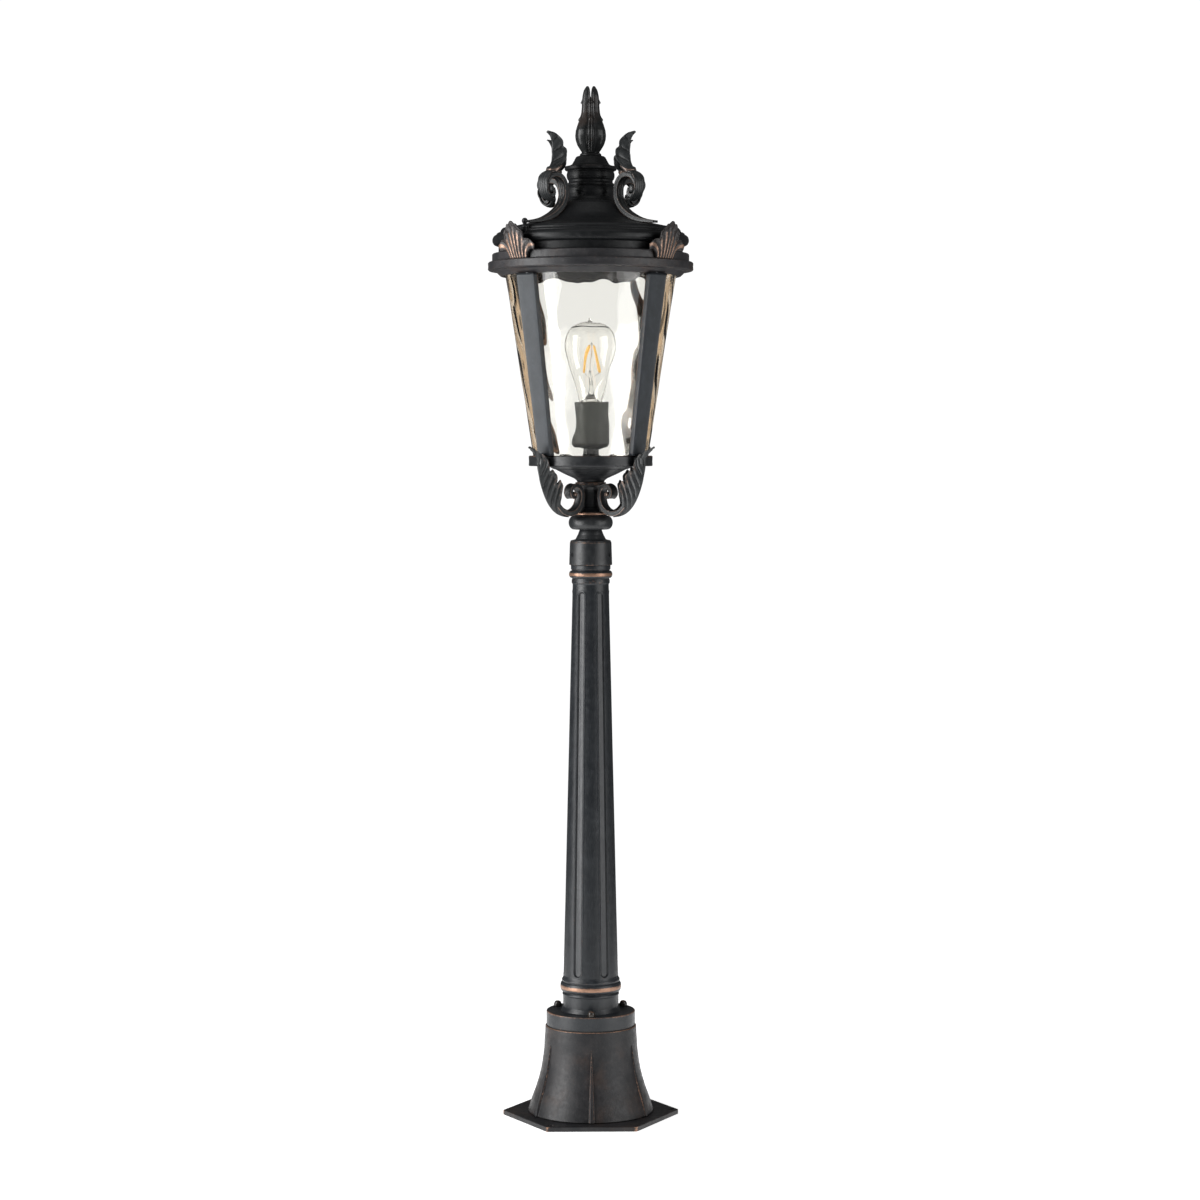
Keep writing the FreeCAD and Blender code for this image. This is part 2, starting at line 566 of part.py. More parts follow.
_rb, _rt = S["lower_ring_top"], S["rib_top_height"]
for _n, _a in NAMES4:
    lower = [Vector(S["rib_base_inner"], -S["rib_base_width"] / 2, _rb), Vector(S["rib_base_outer"] - 1.2, -S["rib_base_width"] / 2, _rb),
             Vector(S["rib_base_outer"], -S["rib_base_width"] / 2 + 1.2, _rb), Vector(S["rib_base_outer"], S["rib_base_width"] / 2 - 1.2, _rb),
             Vector(S["rib_base_outer"] - 1.2, S["rib_base_width"] / 2, _rb), Vector(S["rib_base_inner"], S["rib_base_width"] / 2, _rb)]
    upper = [Vector(S["rib_top_inner"], -S["rib_top_width"] / 2, _rt), Vector(S["rib_top_outer"] - 1.2, -S["rib_top_width"] / 2, _rt),
             Vector(S["rib_top_outer"], -S["rib_top_width"] / 2 + 1.2, _rt), Vector(S["rib_top_outer"], S["rib_top_width"] / 2 - 1.2, _rt),
             Vector(S["rib_top_outer"] - 1.2, S["rib_top_width"] / 2, _rt), Vector(S["rib_top_inner"], S["rib_top_width"] / 2, _rt)]
    rib = Part.makeLoft([Part.makePolygon(lower + [lower[0]]), Part.makePolygon(upper + [upper[0]])], True, True)
    rib = rib.cut(Part.makeCylinder(1.52, 4.4, Vector(73.05, 0, _rb))).cut(Part.makeCylinder(2.02, 10.0, Vector(107.4, 0, _rt - 10.0)))
    free("cage_rib_" + _n, rib, about_z(_a))

# screws that hold the ribs: up through the lower ring, and down through the top ring
_rs = []
for _n, _a in NAMES4:
    c = Part.makeCylinder(1.5, 16.6, Vector(73.05, 0, S["lower_ring_base"])).fuse(
        Part.makeCylinder(2.2, 1.9, Vector(73.05, 0, S["lower_ring_base"] - 1.9)))
    d = Part.makeCylinder(2.0, 32.6, Vector(107.4, 0, 1015.0)).fuse(Part.makeCylinder(3.4, 2.9, Vector(107.4, 0, 1047.6)))
    for k in (c, d):
        k.rotate(Vector(0, 0, 0), Vector(0, 0, 1), _a)
        _rs.append(k.removeSplitter())
free("rib_screws", Part.makeCompound(_rs))

# palmettes stand on the top ring over each rib, follow its curve and lean outwards
_half = [(15.0, -1.0), (13.8, 5.0), (14.6, 9.5), (18.5, 12.6), (24.5, 12.6), (28.8, 15.6), (27.4, 20.2),
         (22.0, 22.8), (19.6, 27.4), (16.0, 31.8), (13.6, 36.4), (8.6, 40.4), (4.6, 44.0), (0.0, 45.6)]
_pz = S["top_ring_top"]
_lean = 11.5
for _n, _a in NAMES4:
    front = [Vector(100, x, _pz + z) for x, z in _half] + [Vector(100, -x, _pz + z) for x, z in reversed(_half[:-1])]
    prism = Part.Face(Part.makePolygon(front + [front[0]])).extrude(Vector(60, 0, 0))
    section = Part.makePolygon([Vector(119.9, 0, _pz), Vector(124.0, 0, _pz), Vector(124.8 + _lean, 0, _pz + 46.0),
                                Vector(121.6 + _lean, 0, _pz + 46.0), Vector(119.9, 0, _pz)])
    shell = Part.Face(section).revolve(Vector(0, 0, 0), Vector(0, 0, 1), 360)
    free("palmette_" + _n, shell.common(prism), about_z(_a))

# lower brackets: a C-scroll against the stem that opens into an upright leaf
_lower_c = [(60.0, 747.5), (52.0, 740.6), (41.0, 737.8), (30.0, 740.2), (22.2, 747.0), (18.9, 757.0),
            (20.6, 766.6), (27.6, 771.6), (35.4, 769.4), (38.6, 762.6), (35.0, 757.4), (30.2, 758.6)]
_lower_leaf = [
    # x, z, nx, nz, half width, fold, thickness
    (38.0, 733.4, 0.10, -1.0, 6.2, 3.0, 3.0), (50.0, 735.0, 0.28, -1.0, 9.6, 13.0, 3.2),
    (61.5, 739.4, 0.58, -0.8, 11.4, 19.6, 3.2), (72.0, 748.4, 0.80, -0.6, 12.2, 22.6, 3.2),
    (80.0, 760.5, 0.90, -0.4, 12.4, 23.2, 3.2), (86.0, 774.5, 0.97, -0.22, 12.0, 21.6, 3.2),
    (89.4, 788.0, 1.0, -0.04, 11.0, 15.6, 3.0), (90.2, 797.0, 1.0, 0.06, 9.6, 10.6, 2.8),
    (91.2, 804.0, 0.94, -0.34, 7.6, 7.0, 2.6), (96.4, 811.0, 0.74, -0.67, 5.0, 3.2, 2.2), (105.6, 818.0, 0.62, -0.75, 1.4, 0.4, 1.4)]
for _n, _a in NAMES4:
    c = strap(_lower_c, 5.0, 6.2, 3.4, 12.0)
    l_ = leaf(_lower_leaf)
    lug = Part.makeBox(14.0, 9.0, 8.5, Vector(74.0, -4.5, 797.2)).cut(
        Part.makeCylinder(S["lower_ring_radius"] + 0.02, 40, Vector(0, 0, 780)))
    toe = Part.makeBox(6.5, 7.0, 5.5, Vector(17.1, -3.5, S["bead_ring_top"]))
    bracket = c.fuse([l_, lug, toe]).removeSplitter()
    free("lower_leaf_" + _n, bracket, about_z(_a))

# ================================================================ roof
turned("roof_canopy", [
    (("roof_neck_radius", -6.3), "step_top"), ("roof_neck_radius", "step_top"), ("roof_neck_radius", "roof_edge_base"),
    (114.2, "roof_edge_base", -4.2), (114.2, "roof_edge_top"), (113.6, 1075.2), (110.6, 1075.6), (108.8, 1077.6),
    (107.2, 1081.0), (97.0, 1082.6), (87.0, 1084.8), (80.0, 1086.2), (72.5, 1088.4), (64.0, 1092.1), (56.2, 1096.8),
    (44.5, 1107.4), (38.5, 1112.4), (36.4, 1113.5), ("drum_bore_radius", "drum_base"),
    ("drum_bore_radius", 1110.0), (36.4, 1109.4), (52.6, 1094.0), (70.6, 1084.6), (97.0, 1078.4), (103.0, 1076.0), (105.0, 1066.0),
])
_blank = NODES.pop()
_blank.Label = "roof_canopy_blank"
_boss = doc.addObject("Part::Feature", "latch_boss")
_boss.Shape = Part.makeCylinder(4.3, 9.0, Vector(_lx, _ly, 1067.2))
_fuse = doc.addObject("Part::Fuse", "roof_canopy_bossed")
_fuse.Base = _blank
_fuse.Tool = _boss
_tool = doc.addObject("Part::Feature", "roof_cutters")
_tool.Shape = Part.makeCylinder(S["latch_shank_radius"] + 0.05, 40, Vector(_lx, _ly, S["step_top"] - 5))
_cut = doc.addObject("Part::Cut", "roof_canopy")
_cut.Label = "roof_canopy"
_cut.Base = _fuse
_cut.Tool = _tool
NODES.append(_cut)

turned("roof_drum", [
    ("drum_bore_radius", "drum_base"), (33.0, "drum_base"), (30.4, 1115.0), (29.6, 1117.4), (28.0, 1119.0), (28.4, 1120.6, -1.2),
    (28.4, 1130.8), (27.2, 1132.4), (28.6, 1133.2), (28.6, 1135.0), (26.6, 1137.4), (27.8, 1140.4, -1.4), (27.8, 1150.2),
    (30.8, 1151.4), (31.4, 1152.4), (31.4, 1155.2), (30.4, "drum_top"), ("drum_bore_radius", "drum_top"),
])
turned("roof_cap", [
    (3.2, "drum_top"), (26.0, "drum_top"), (22.6, 1158.6), (17.6, 1167.8), (13.0, 1168.8), (12.8, "cap_top"), (3.2, "cap_top"),
])
turned("finial_bud", [
    (0, "cap_top"), (11.3, "cap_top"), (11.9, 1174.0), (17.2, 1182.0, -1.6), ("bud_radius", "bud_widest_height", -1.4),
    (17.6, 1206.0), (12.2, 1220.0, 0.6), (12.0, 1232.0), (9.8, 1242.0, -0.6), (5.8, "overall_height"), (0, "overall_height"),
])
_blank = NODES.pop()
_blank.Label = "finial_bud_blank"
_tool = doc.addObject("Part::Feature", "finial_bore")
_tool.Shape = Part.makeCylinder(S["rod_radius"] + 0.02, 16.5, Vector(0, 0, S["cap_top"] - 1.0))
_cut = doc.addObject("Part::Cut", "finial_bud")
_cut.Label = "finial_bud"
_cut.Base = _blank
_cut.Tool = _tool
NODES.append(_cut)
turned("finial_rod", [(0, 1097.0), ("rod_radius", 1097.0), ("rod_radius", 1187.0), (0, 1187.0)])
_bar = body_of("rod_crossbar")
sk = sketch_on(_bar, "crossbar_top", "XY_Plane", 1105.0)
outline(sk, [(-31.0, -7.0), (31.0, -7.0), (31.0, 7.0), (-31.0, 7.0)])
padded(_bar, "crossbar_pad", sk, 3.0)
sk = sketch_on(_bar, "crossbar_hole", "XY_Plane", 1109.0)
circles(sk, [(0, 0)], 3.1)
pocketed(_bar, "crossbar_hole_cut", sk, 6.0)
free("rod_nut", _hex_nut(1099.8, 5.2, 10.0, 3.02))

# upper brackets: S-scrolls that rise from the roof's edge, curl over beside the
# drum and carry an upright leaf
_upper_s = [(107.2, 1084.6), (98.0, 1085.6), (88.0, 1087.0), (76.6, 1090.0), (64.0, 1095.8), (53.4, 1104.4), (47.8, 1113.4),
            (46.2, 1122.6), (47.6, 1131.6), (52.4, 1138.8), (60.6, 1142.6), (70.0, 1141.2), (77.0, 1135.0), (79.6, 1126.6),
            (77.4, 1119.4), (71.8, 1116.8), (67.0, 1120.0), (68.6, 1126.0)]
_upper_leaf = [
    (73.0, 1144.0, 0.75, 0.66, 7.0, 3.0, 5.0), (69.4, 1152.0, 0.94, 0.26, 8.6, 9.0, 4.8), (66.6, 1159.0, 1.0, 0.1, 9.6, 12.6, 4.4),
    (65.4, 1166.0, 1.0, 0.0, 10.2, 14.0, 4.0), (65.2, 1173.0, 1.0, -0.08, 10.0, 13.4, 3.6), (65.6, 1180.0, 1.0, -0.2, 8.8, 10.4, 3.2),
    (67.8, 1186.0, 0.88, -0.45, 6.6, 6.4, 2.8), (70.8, 1190.4, 0.66, -0.75, 4.4, 2.8, 2.2), (73.6, 1192.4, 0.4, -0.9, 1.8, 0.5, 1.6)]
# a second leaf is folded round the outside of each curl
_upper_sheath = [(60.0, 1146.6), (68.0, 1147.8), (76.0, 1145.4), (82.0, 1138.6), (84.0, 1130.0), (82.0, 1121.2), (76.4, 1113.8), (68.6, 1111.6)]
# each bracket's foot is ground to the roof, so its underside follows the ogee
_env = Part.makePolygon([Vector(x, 0, z) for x, z in [(0, 1060), (107.2, 1060), (107.2, 1081.0), (97.0, 1082.6), (87.0, 1084.8),
                                                      (80.0, 1086.2), (72.5, 1088.5), (64.0, 1092.2), (56.2, 1096.9), (44.5, 1107.5), (38.5, 1112.5), (0, 1112.5), (0, 1060)]])
_roof_envelope = Part.Face(_env).revolve(Vector(0, 0, 0), Vector(0, 0, 1), 360)
for _n, _a in NAMES4:
    s_ = strap(_upper_s, 3.4, 6.4, 4.4, 12.5)
    l_ = leaf(_upper_leaf)
    sheath = strap(_upper_sheath, 2.0, 2.6, 2.0, 17.0)
    bracket = s_.fuse([l_, sheath]).removeSplitter().cut(_roof_envelope)
    free("upper_scroll_" + _n, bracket, about_z(_a))

# ================================================================ hinge and latch
_hy, _hz, _kr = S["hinge_axis_depth"], S["hinge_axis_height"], S["hinge_knuckle_radius"]
_hole = Part.makeCylinder(S["hinge_pin_radius"] + 0.05, 60, Vector(-30, _hy, _hz), Vector(1, 0, 0))
plate = Part.makeBox(34, 3.0, 24.0, Vector(-17, _hy - 4.1, 1026.0 + 4.6)).cut(
    Part.makeBox(12.8, 10, 20, Vector(-6.4, _hy - 8, _hz - 4.6)))
fixed = plate
for _x in (-17.0, 6.4):
    fixed = fixed.fuse(Part.makeCylinder(_kr, 10.6, Vector(_x, _hy, _hz), Vector(1, 0, 0)))
fixed = fixed.cut(_hole)
_ring_clear = Part.makeCylinder(S["top_ring_radius"] + 0.02, 60, Vector(0, 0, 1010))
fixed = fixed.cut(_ring_clear).removeSplitter()
fixed = fixed.cut(Part.makeCompound([Part.makeCylinder(1.75, 12, Vector(x, _hy - 8, 1036.0), Vector(0, 1, 0)) for x in (-11.0, 11.0)]))
free("hinge_fixed_leaf", fixed)
moving = Part.makeCylinder(_kr, 12.0, Vector(-6.0, _hy, _hz), Vector(1, 0, 0))
moving = moving.fuse(Part.makeBox(12.0, _hy - 112.0, 2.8, Vector(-6.0, 112.0, _hz - 1.4)))
moving = moving.fuse(Part.makeBox(20.0, 2.2, 7.0, Vector(-10.0, 111.6, _hz - 1.4)))
moving = moving.cut(_hole).removeSplitter()
free("hinge_roof_leaf", moving)
_pin = Part.makeCylinder(S["hinge_pin_radius"], 36.4, Vector(-18.2, _hy, _hz), Vector(1, 0, 0))
free("hinge_pin", _pin.fuse([Part.makeSphere(2.1, Vector(-18.6, _hy, _hz)), Part.makeSphere(2.1, Vector(18.6, _hy, _hz))]).removeSplitter())
_hs = []
for _x in (-11.0, 11.0):
    _hs.append(Part.makeCylinder(3.0, 1.6, Vector(_x, _hy - 1.08, 1036.0), Vector(0, 1, 0)).fuse(
        Part.makeCylinder(1.7, 3.6, Vector(_x, _hy - 4.6, 1036.0), Vector(0, 1, 0))))
free("hinge_screws", Part.makeCompound(_hs))

turned("latch_screw", [(0, 1042.4), (1.4, 1042.4), ("latch_shank_radius", 1043.6), ("latch_shank_radius", 1076.3), (3.9, 1076.3),
                       (3.9, 1078.4), (2.6, 1080.6), (2.0, 1081.4), (2.0, 1083.6), (0, 1083.6)], Placement(Vector(_lx, _ly, 0), Rotation()))
turned("latch_knob", [(0, 1083.7), (2.4, 1083.7), (2.4, 1084.6), (0.001 + 2.42, 1084.8), ("latch_ball_radius", 1087.4), (2.5, 1090.0), (0.8, 1090.95), (0, 1091.0)],
       Placement(Vector(_lx, _ly, 0), Rotation()))

# ================================================================ lamp
turned("holder_nipple", [("tube_radius", 805.0), (10.8, 805.0), (10.8, "holder_base"), (5.2, "holder_base"), (5.2, 812.2), ("tube_radius", 812.2)])
turned("holder_sleeve", [
    (5.2, "holder_base"), (12.0, "holder_base"), (18.6, 818.6), (20.6, 822.0), ("holder_radius", 836.0),
    (("holder_radius", -0.6), "holder_top"), (("holder_radius", -2.4), "holder_top"),
    (17.4, 838.0), (17.4, 824.0), (5.2, 824.0),
])
turned("holder_core", [(3.0, 824.0), (17.2, 824.0), (17.2, 838.0), (16.7, 838.5), (3.0, 838.5)])
turned("holder_thread_shell", [(13.1, 838.5), (17.0, 838.5), (17.0, 871.6), (16.4, 871.6), (16.4, 840.4), (13.9, 840.4), (13.9, 866.0), (13.1, 866.0)])
turned("holder_contact", [(0, 838.5), (5.0, 838.5), (5.0, 839.4), (3.2, 842.4), (3.2, 843.0), (0, 843.0)])
turned("bulb_cap", [(0, 843.0), (4.6, 843.0), (4.8, 844.6), (8.7, 846.9), ("cap_shell_radius", 850.4), ("cap_shell_radius", 868.6), (14.4, 871.0), (14.4, 872.0), (13.6, 872.0), (12.4, 868.2), (12.4, 850.8), (8.2, 847.6), (0, 847.6)])
turned("bulb_glass", [
    (13.4, 872.3), (14.0, 872.3), (15.6, 884.0, 1.0), (22.6, 904.0, 0.2), (29.4, 924.0, -1.0), ("bulb_radius", "bulb_widest_height", -1.2),
    (28.6, 956.0, -1.4), (17.6, 966.4, -0.5), (4.4, 969.2), (2.0, 971.0), (1.4, "bulb_tip_height"), (0, "bulb_tip_height"),
    (0, 969.2), (4.0, 968.4, 0.5), (17.2, 965.6, 1.4), (27.9, 955.6, 1.2), (31.0, 941.0, 1.0), (28.6, 924.0, -0.2),
    (21.8, 904.0, -1.0), (14.9, 884.0),
])
turned("bulb_stem", [(0, 872.2), (13.0, 872.2), (12.4, 873.6), (6.6, 878.0), (3.6, 884.0), (2.6, 900.0), (1.6, 912.0), (0, 912.0)])
_fil = []
for _x, _y in ((-5.4, -3.0), (5.4, -3.0), (5.4, 3.0), (-5.4, 3.0)):
    p0, p1 = Vector(_x * 1.25, _y * 1.25, 907.0), Vector(_x * 0.42, _y * 0.42, 940.0)
    _fil.append(Part.makeCylinder(1.0, (p1 - p0).Length, p0, p1 - p0))
    q0 = Vector(_x * 0.9, _y * 0.9, 892.0)
free("bulb_filaments", Part.makeCompound(_fil))

# supply lead, held all the way: from the terminal block, over to the axis in two
# equal arcs, through the grommet, up the post and the threaded tube to the holder
_lr = 3.2
_off, _rise = 26.0, 52.0
_turn = 2.0 * math.atan2(_off, _rise)
_rad = _rise / (2.0 * math.sin(_turn))
print("lead bend radius %.1f" % _rad)
_zs = 49.4
_p = [Vector(-_off, 0, 49.0), Vector(-_off, 0, _zs)]
_mid = Vector(-_off / 2.0, 0, _zs + _rise / 2.0)
_q = Vector(-_off + _rad * (1 - math.cos(_turn / 2)), 0, _zs + _rad * math.sin(_turn / 2))
_q2 = Vector(-_rad * (1 - math.cos(_turn / 2)), 0, _zs + _rise - _rad * math.sin(_turn / 2))
_e = Vector(0, 0, _zs + _rise)
_path = Part.Wire([Part.LineSegment(_p[0], _p[1]).toShape(), Part.Arc(_p[1], _q, _mid).toShape(),
                   Part.Arc(_mid, _q2, _e).toShape(), Part.LineSegment(_e, Vector(0, 0, 824.0)).toShape()])
_ring_wire = Part.Wire([Part.makeCircle(_lr, _p[0], Vector(0, 0, 1))])
_tube = _path.makePipeShell([_ring_wire], True, False)
if not _tube.isValid() or abs(_tube.Volume - math.pi * _lr ** 2 * _path.Length) > 30:
    raise ValueError("lead %.1f against %.1f" % (_tube.Volume, math.pi * _lr ** 2 * _path.Length))
free("internal_lead", _tube)

# ================================================================ check and write
doc.recompute()
for obj in doc.Objects:
    state = list(obj.State)
    if "Invalid" in state or "Error" in state:
        raise RuntimeError("%s is %s" % (obj.Label, state))
os.makedirs("parts", exist_ok=True)
for _old in os.listdir("parts"):
    if _old.endswith(".step"):
        os.remove(os.path.join("parts", _old))
seen = set()
for node in NODES:
    shape = node.Shape
    if shape.isNull() or not shape.isValid() or shape.Volume <= 0:
        raise RuntimeError("bad shape: " + node.Label)
    if node.Label in seen:
        raise RuntimeError("two nodes named " + node.Label)
    seen.add(node.Label)
    shape.exportStep("parts/%s.step" % node.Label)
    box = shape.optimalBoundingBox()
    print("%-26s solids %d  volume %9.0f  z %.1f..%.1f" % (node.Label, len(shape.Solids), shape.Volume, box.ZMin, box.ZMax))
print(len(NODES), "nodes")
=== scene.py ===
"""Looks for the one-light post lantern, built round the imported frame. Lengths below are in millimetres and become metres in mesh_obj()."""
import math
import json

import bpy
import bmesh
import numpy as np
from mathutils import Vector, Matrix


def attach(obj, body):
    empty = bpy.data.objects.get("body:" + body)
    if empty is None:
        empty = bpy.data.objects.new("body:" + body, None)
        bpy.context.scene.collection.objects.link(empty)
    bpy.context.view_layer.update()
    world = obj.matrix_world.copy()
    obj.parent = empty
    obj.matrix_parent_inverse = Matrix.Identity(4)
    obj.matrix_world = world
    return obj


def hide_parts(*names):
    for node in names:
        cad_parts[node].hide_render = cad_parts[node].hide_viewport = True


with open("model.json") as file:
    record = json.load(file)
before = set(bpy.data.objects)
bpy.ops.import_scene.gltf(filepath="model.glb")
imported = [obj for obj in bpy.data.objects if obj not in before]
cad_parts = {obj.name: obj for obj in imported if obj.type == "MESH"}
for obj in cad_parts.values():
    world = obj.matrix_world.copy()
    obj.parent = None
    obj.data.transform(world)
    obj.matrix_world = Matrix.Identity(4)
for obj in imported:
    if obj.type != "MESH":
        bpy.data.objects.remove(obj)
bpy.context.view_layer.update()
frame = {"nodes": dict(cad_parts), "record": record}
NODES = frame["nodes"]
pi, sin, cos = math.pi, math.sin, math.cos
QUARTERS = (("front_right", -45.0), ("back_right", 45.0), ("back_left", 135.0), ("front_left", 225.0))


# ------------------------------------------------------------------ materials
def new_mat(name):
    m = bpy.data.materials.new(name)
    m.use_nodes = True
    nt = m.node_tree
    nt.nodes.clear()
    out = nt.nodes.new("ShaderNodeOutputMaterial")
    bsdf = nt.nodes.new("ShaderNodeBsdfPrincipled")
    nt.links.new(bsdf.outputs[0], out.inputs[0])
    return m, nt, bsdf


def tex(nt, scale, detail=4.0, rough=0.55, stretch=None):
    co = nt.nodes.new("ShaderNodeTexCoord")
    n = nt.nodes.new("ShaderNodeTexNoise")
    n.inputs["Scale"].default_value = scale
    n.inputs["Detail"].default_value = detail
    n.inputs["Roughness"].default_value = rough
    src = co.outputs["Object"]
    if stretch:
        mp = nt.nodes.new("ShaderNodeMapping")
        mp.inputs["Scale"].default_value = stretch
        nt.links.new(src, mp.inputs[0])
        src = mp.outputs[0]
    nt.links.new(src, n.inputs["Vector"])
    return n.outputs["Fac"]


def math_node(nt, op, a, b=None, clamp=False):
    n = nt.nodes.new("ShaderNodeMath")
    n.operation = op
    n.use_clamp = clamp
    for i, v in enumerate((a, b)):
        if v is None:
            continue
        if isinstance(v, (int, float)):
            n.inputs[i].default_value = v
        else:
            nt.links.new(v, n.inputs[i])
    return n.outputs[0]


def ranged(nt, v, lo, hi, a=0.0, b=1.0, smooth=True):
    n = nt.nodes.new("ShaderNodeMapRange")
    n.interpolation_type = "SMOOTHSTEP" if smooth else "LINEAR"
    n.inputs[1].default_value = lo
    n.inputs[2].default_value = hi
    n.inputs[3].default_value = a
    n.inputs[4].default_value = b
    nt.links.new(v, n.inputs[0])
    return n.outputs[0]


def mixed(nt, fac, a, b):
    n = nt.nodes.new("ShaderNodeMix")
    n.data_type = "RGBA"
    if isinstance(fac, (int, float)):
        n.inputs[0].default_value = fac
    else:
        nt.links.new(fac, n.inputs[0])
    for sock, v in ((n.inputs[6], a), (n.inputs[7], b)):
        if isinstance(v, (tuple, list)):
            sock.default_value = (v[0], v[1], v[2], 1.0)
        else:
            nt.links.new(v, sock)
    return n.outputs[2]


def attr(nt, name):
    n = nt.nodes.new("ShaderNodeAttribute")
    n.attribute_name = name
    return n.outputs["Fac"]


def bumped(nt, bsdf, height, strength, distance):
    b = nt.nodes.new("ShaderNodeBump")
    b.inputs["Strength"].default_value = strength
    b.inputs["Distance"].default_value = distance
    nt.links.new(height, b.inputs["Height"])
    nt.links.new(b.outputs[0], bsdf.inputs["Normal"])


def cast_mat(name, dark=(0.012, 0.0135, 0.0155), patch=(0.022, 0.0235, 0.025), copper=(0.30, 0.175, 0.118), rough=(0.30, 0.44),
             gain=1.0, grain=0.55, warm=0.0, spec=0.5):
    """Cast aluminium in dark antique paint: mottled charcoal, a fine sand-cast grain, copper rubbed through where
    'wear' says so, and painted shade in grooves and recesses from the per-point hollow-shade values.
    """
    m, nt, bsdf = new_mat(name)
    broad = tex(nt, 34.0, 5.0, 0.62)
    mid = tex(nt, 190.0, 5.0, 0.6)
    fine = tex(nt, 1250.0, 3.0, 0.6)
    base = mixed(nt, ranged(nt, broad, 0.38, 0.64), dark, patch)
    base = mixed(nt, ranged(nt, mid, 0.56, 0.72, 0.0, 0.5), base, tuple(1.6 * c for c in patch))
    base = mixed(nt, ranged(nt, fine, 0.60, 0.74, 0.0, 0.40), base, (0.060, 0.060, 0.058))
    base = mixed(nt, ranged(nt, fine, 0.42, 0.30, 0.0, 0.55), base, (0.008, 0.009, 0.010))
    if warm:
        base = mixed(nt, ranged(nt, tex(nt, 26.0, 4.0, 0.6), 0.50, 0.70, 0.0, warm), base, (0.060, 0.036, 0.026))
    # painted shade: the per-point hollow-shade values darken grooves, recesses, creases, the backs of leaves and the
    # bud's core towards near-black
    hollow_shade = attr(nt, "hollow_shade")
    base = mixed(nt, ranged(nt, hollow_shade, 0.0, 1.0, 0.0, 0.85, False), base, (0.006, 0.0065, 0.007))
    worn = attr(nt, "wear")
    breakup = tex(nt, 320.0, 5.0, 0.66)
    wide = tex(nt, 21.0, 3.0, 0.5)
    w = math_node(nt, "MULTIPLY", worn, gain)
    w = math_node(nt, "MULTIPLY", w, ranged(nt, wide, 0.30, 0.62, 0.62, 1.15))
    w = math_node(nt, "ADD", w, ranged(nt, breakup, 0.25, 0.75, -0.34, 0.34, False))
    mask = ranged(nt, w, 0.30, 0.95)
    tone = mixed(nt, ranged(nt, mid, 0.3, 0.7), copper, tuple(min(1.0, 1.35 * c) for c in copper))
    nt.links.new(mixed(nt, mask, base, tone), bsdf.inputs["Base Color"])
    nt.links.new(math_node(nt, "MULTIPLY", mask, 0.62), bsdf.inputs["Metallic"])
    r = ranged(nt, mid, 0.3, 0.7, rough[0], rough[1])
    r2 = nt.nodes.new("ShaderNodeMix")
    r2.data_type = "FLOAT"
    nt.links.new(mask, r2.inputs[0])
    nt.links.new(r, r2.inputs[2])
    r2.inputs[3].default_value = 0.34
    nt.links.new(r2.outputs[0], bsdf.inputs["Roughness"])
    bsdf.inputs["Specular IOR Level"].default_value = spec
    h = math_node(nt, "ADD", math_node(nt, "MULTIPLY", fine, 0.55), math_node(nt, "MULTIPLY", mid, 0.9))
    bumped(nt, bsdf, h, grain, 0.00035)
    return m


def plain_mat(name, color, metallic=0.0, rough=0.5, color2=None, scale=220.0, bump=0.0, dist=0.0003, coat=0.0):
    m, nt, bsdf = new_mat(name)
    n = tex(nt, scale, 4.0, 0.6)
    c2 = color2 or tuple(min(1.0, c * 1.25) for c in color)
    nt.links.new(mixed(nt, ranged(nt, n, 0.35, 0.65), color, c2), bsdf.inputs["Base Color"])
    bsdf.inputs["Metallic"].default_value = metallic
    nt.links.new(ranged(nt, n, 0.3, 0.7, rough * 0.88, rough * 1.12), bsdf.inputs["Roughness"])
    if coat:
        bsdf.inputs["Coat Weight"].default_value = coat
        bsdf.inputs["Coat Roughness"].default_value = 0.1
    if bump:
        bumped(nt, bsdf, tex(nt, scale * 3, 3.0, 0.6), bump, dist)
    return m


def glass_mat(name, face, edge, ior=1.46, blend=0.42, rough=0.0, bump=0.0, lo=0.42, hi=0.98):
    m, nt, bsdf = new_mat(name)
    lw = nt.nodes.new("ShaderNodeLayerWeight")
    lw.inputs["Blend"].default_value = blend
    nt.links.new(mixed(nt, ranged(nt, lw.outputs["Facing"], lo, hi), face, edge), bsdf.inputs["Base Color"])
    bsdf.inputs["Transmission Weight"].default_value = 1.0
    bsdf.inputs["IOR"].default_value = ior
    bsdf.inputs["Roughness"].default_value = rough
    if bump:
        bumped(nt, bsdf, tex(nt, 75.0, 2.0, 0.5), bump, 0.0010)
    return m


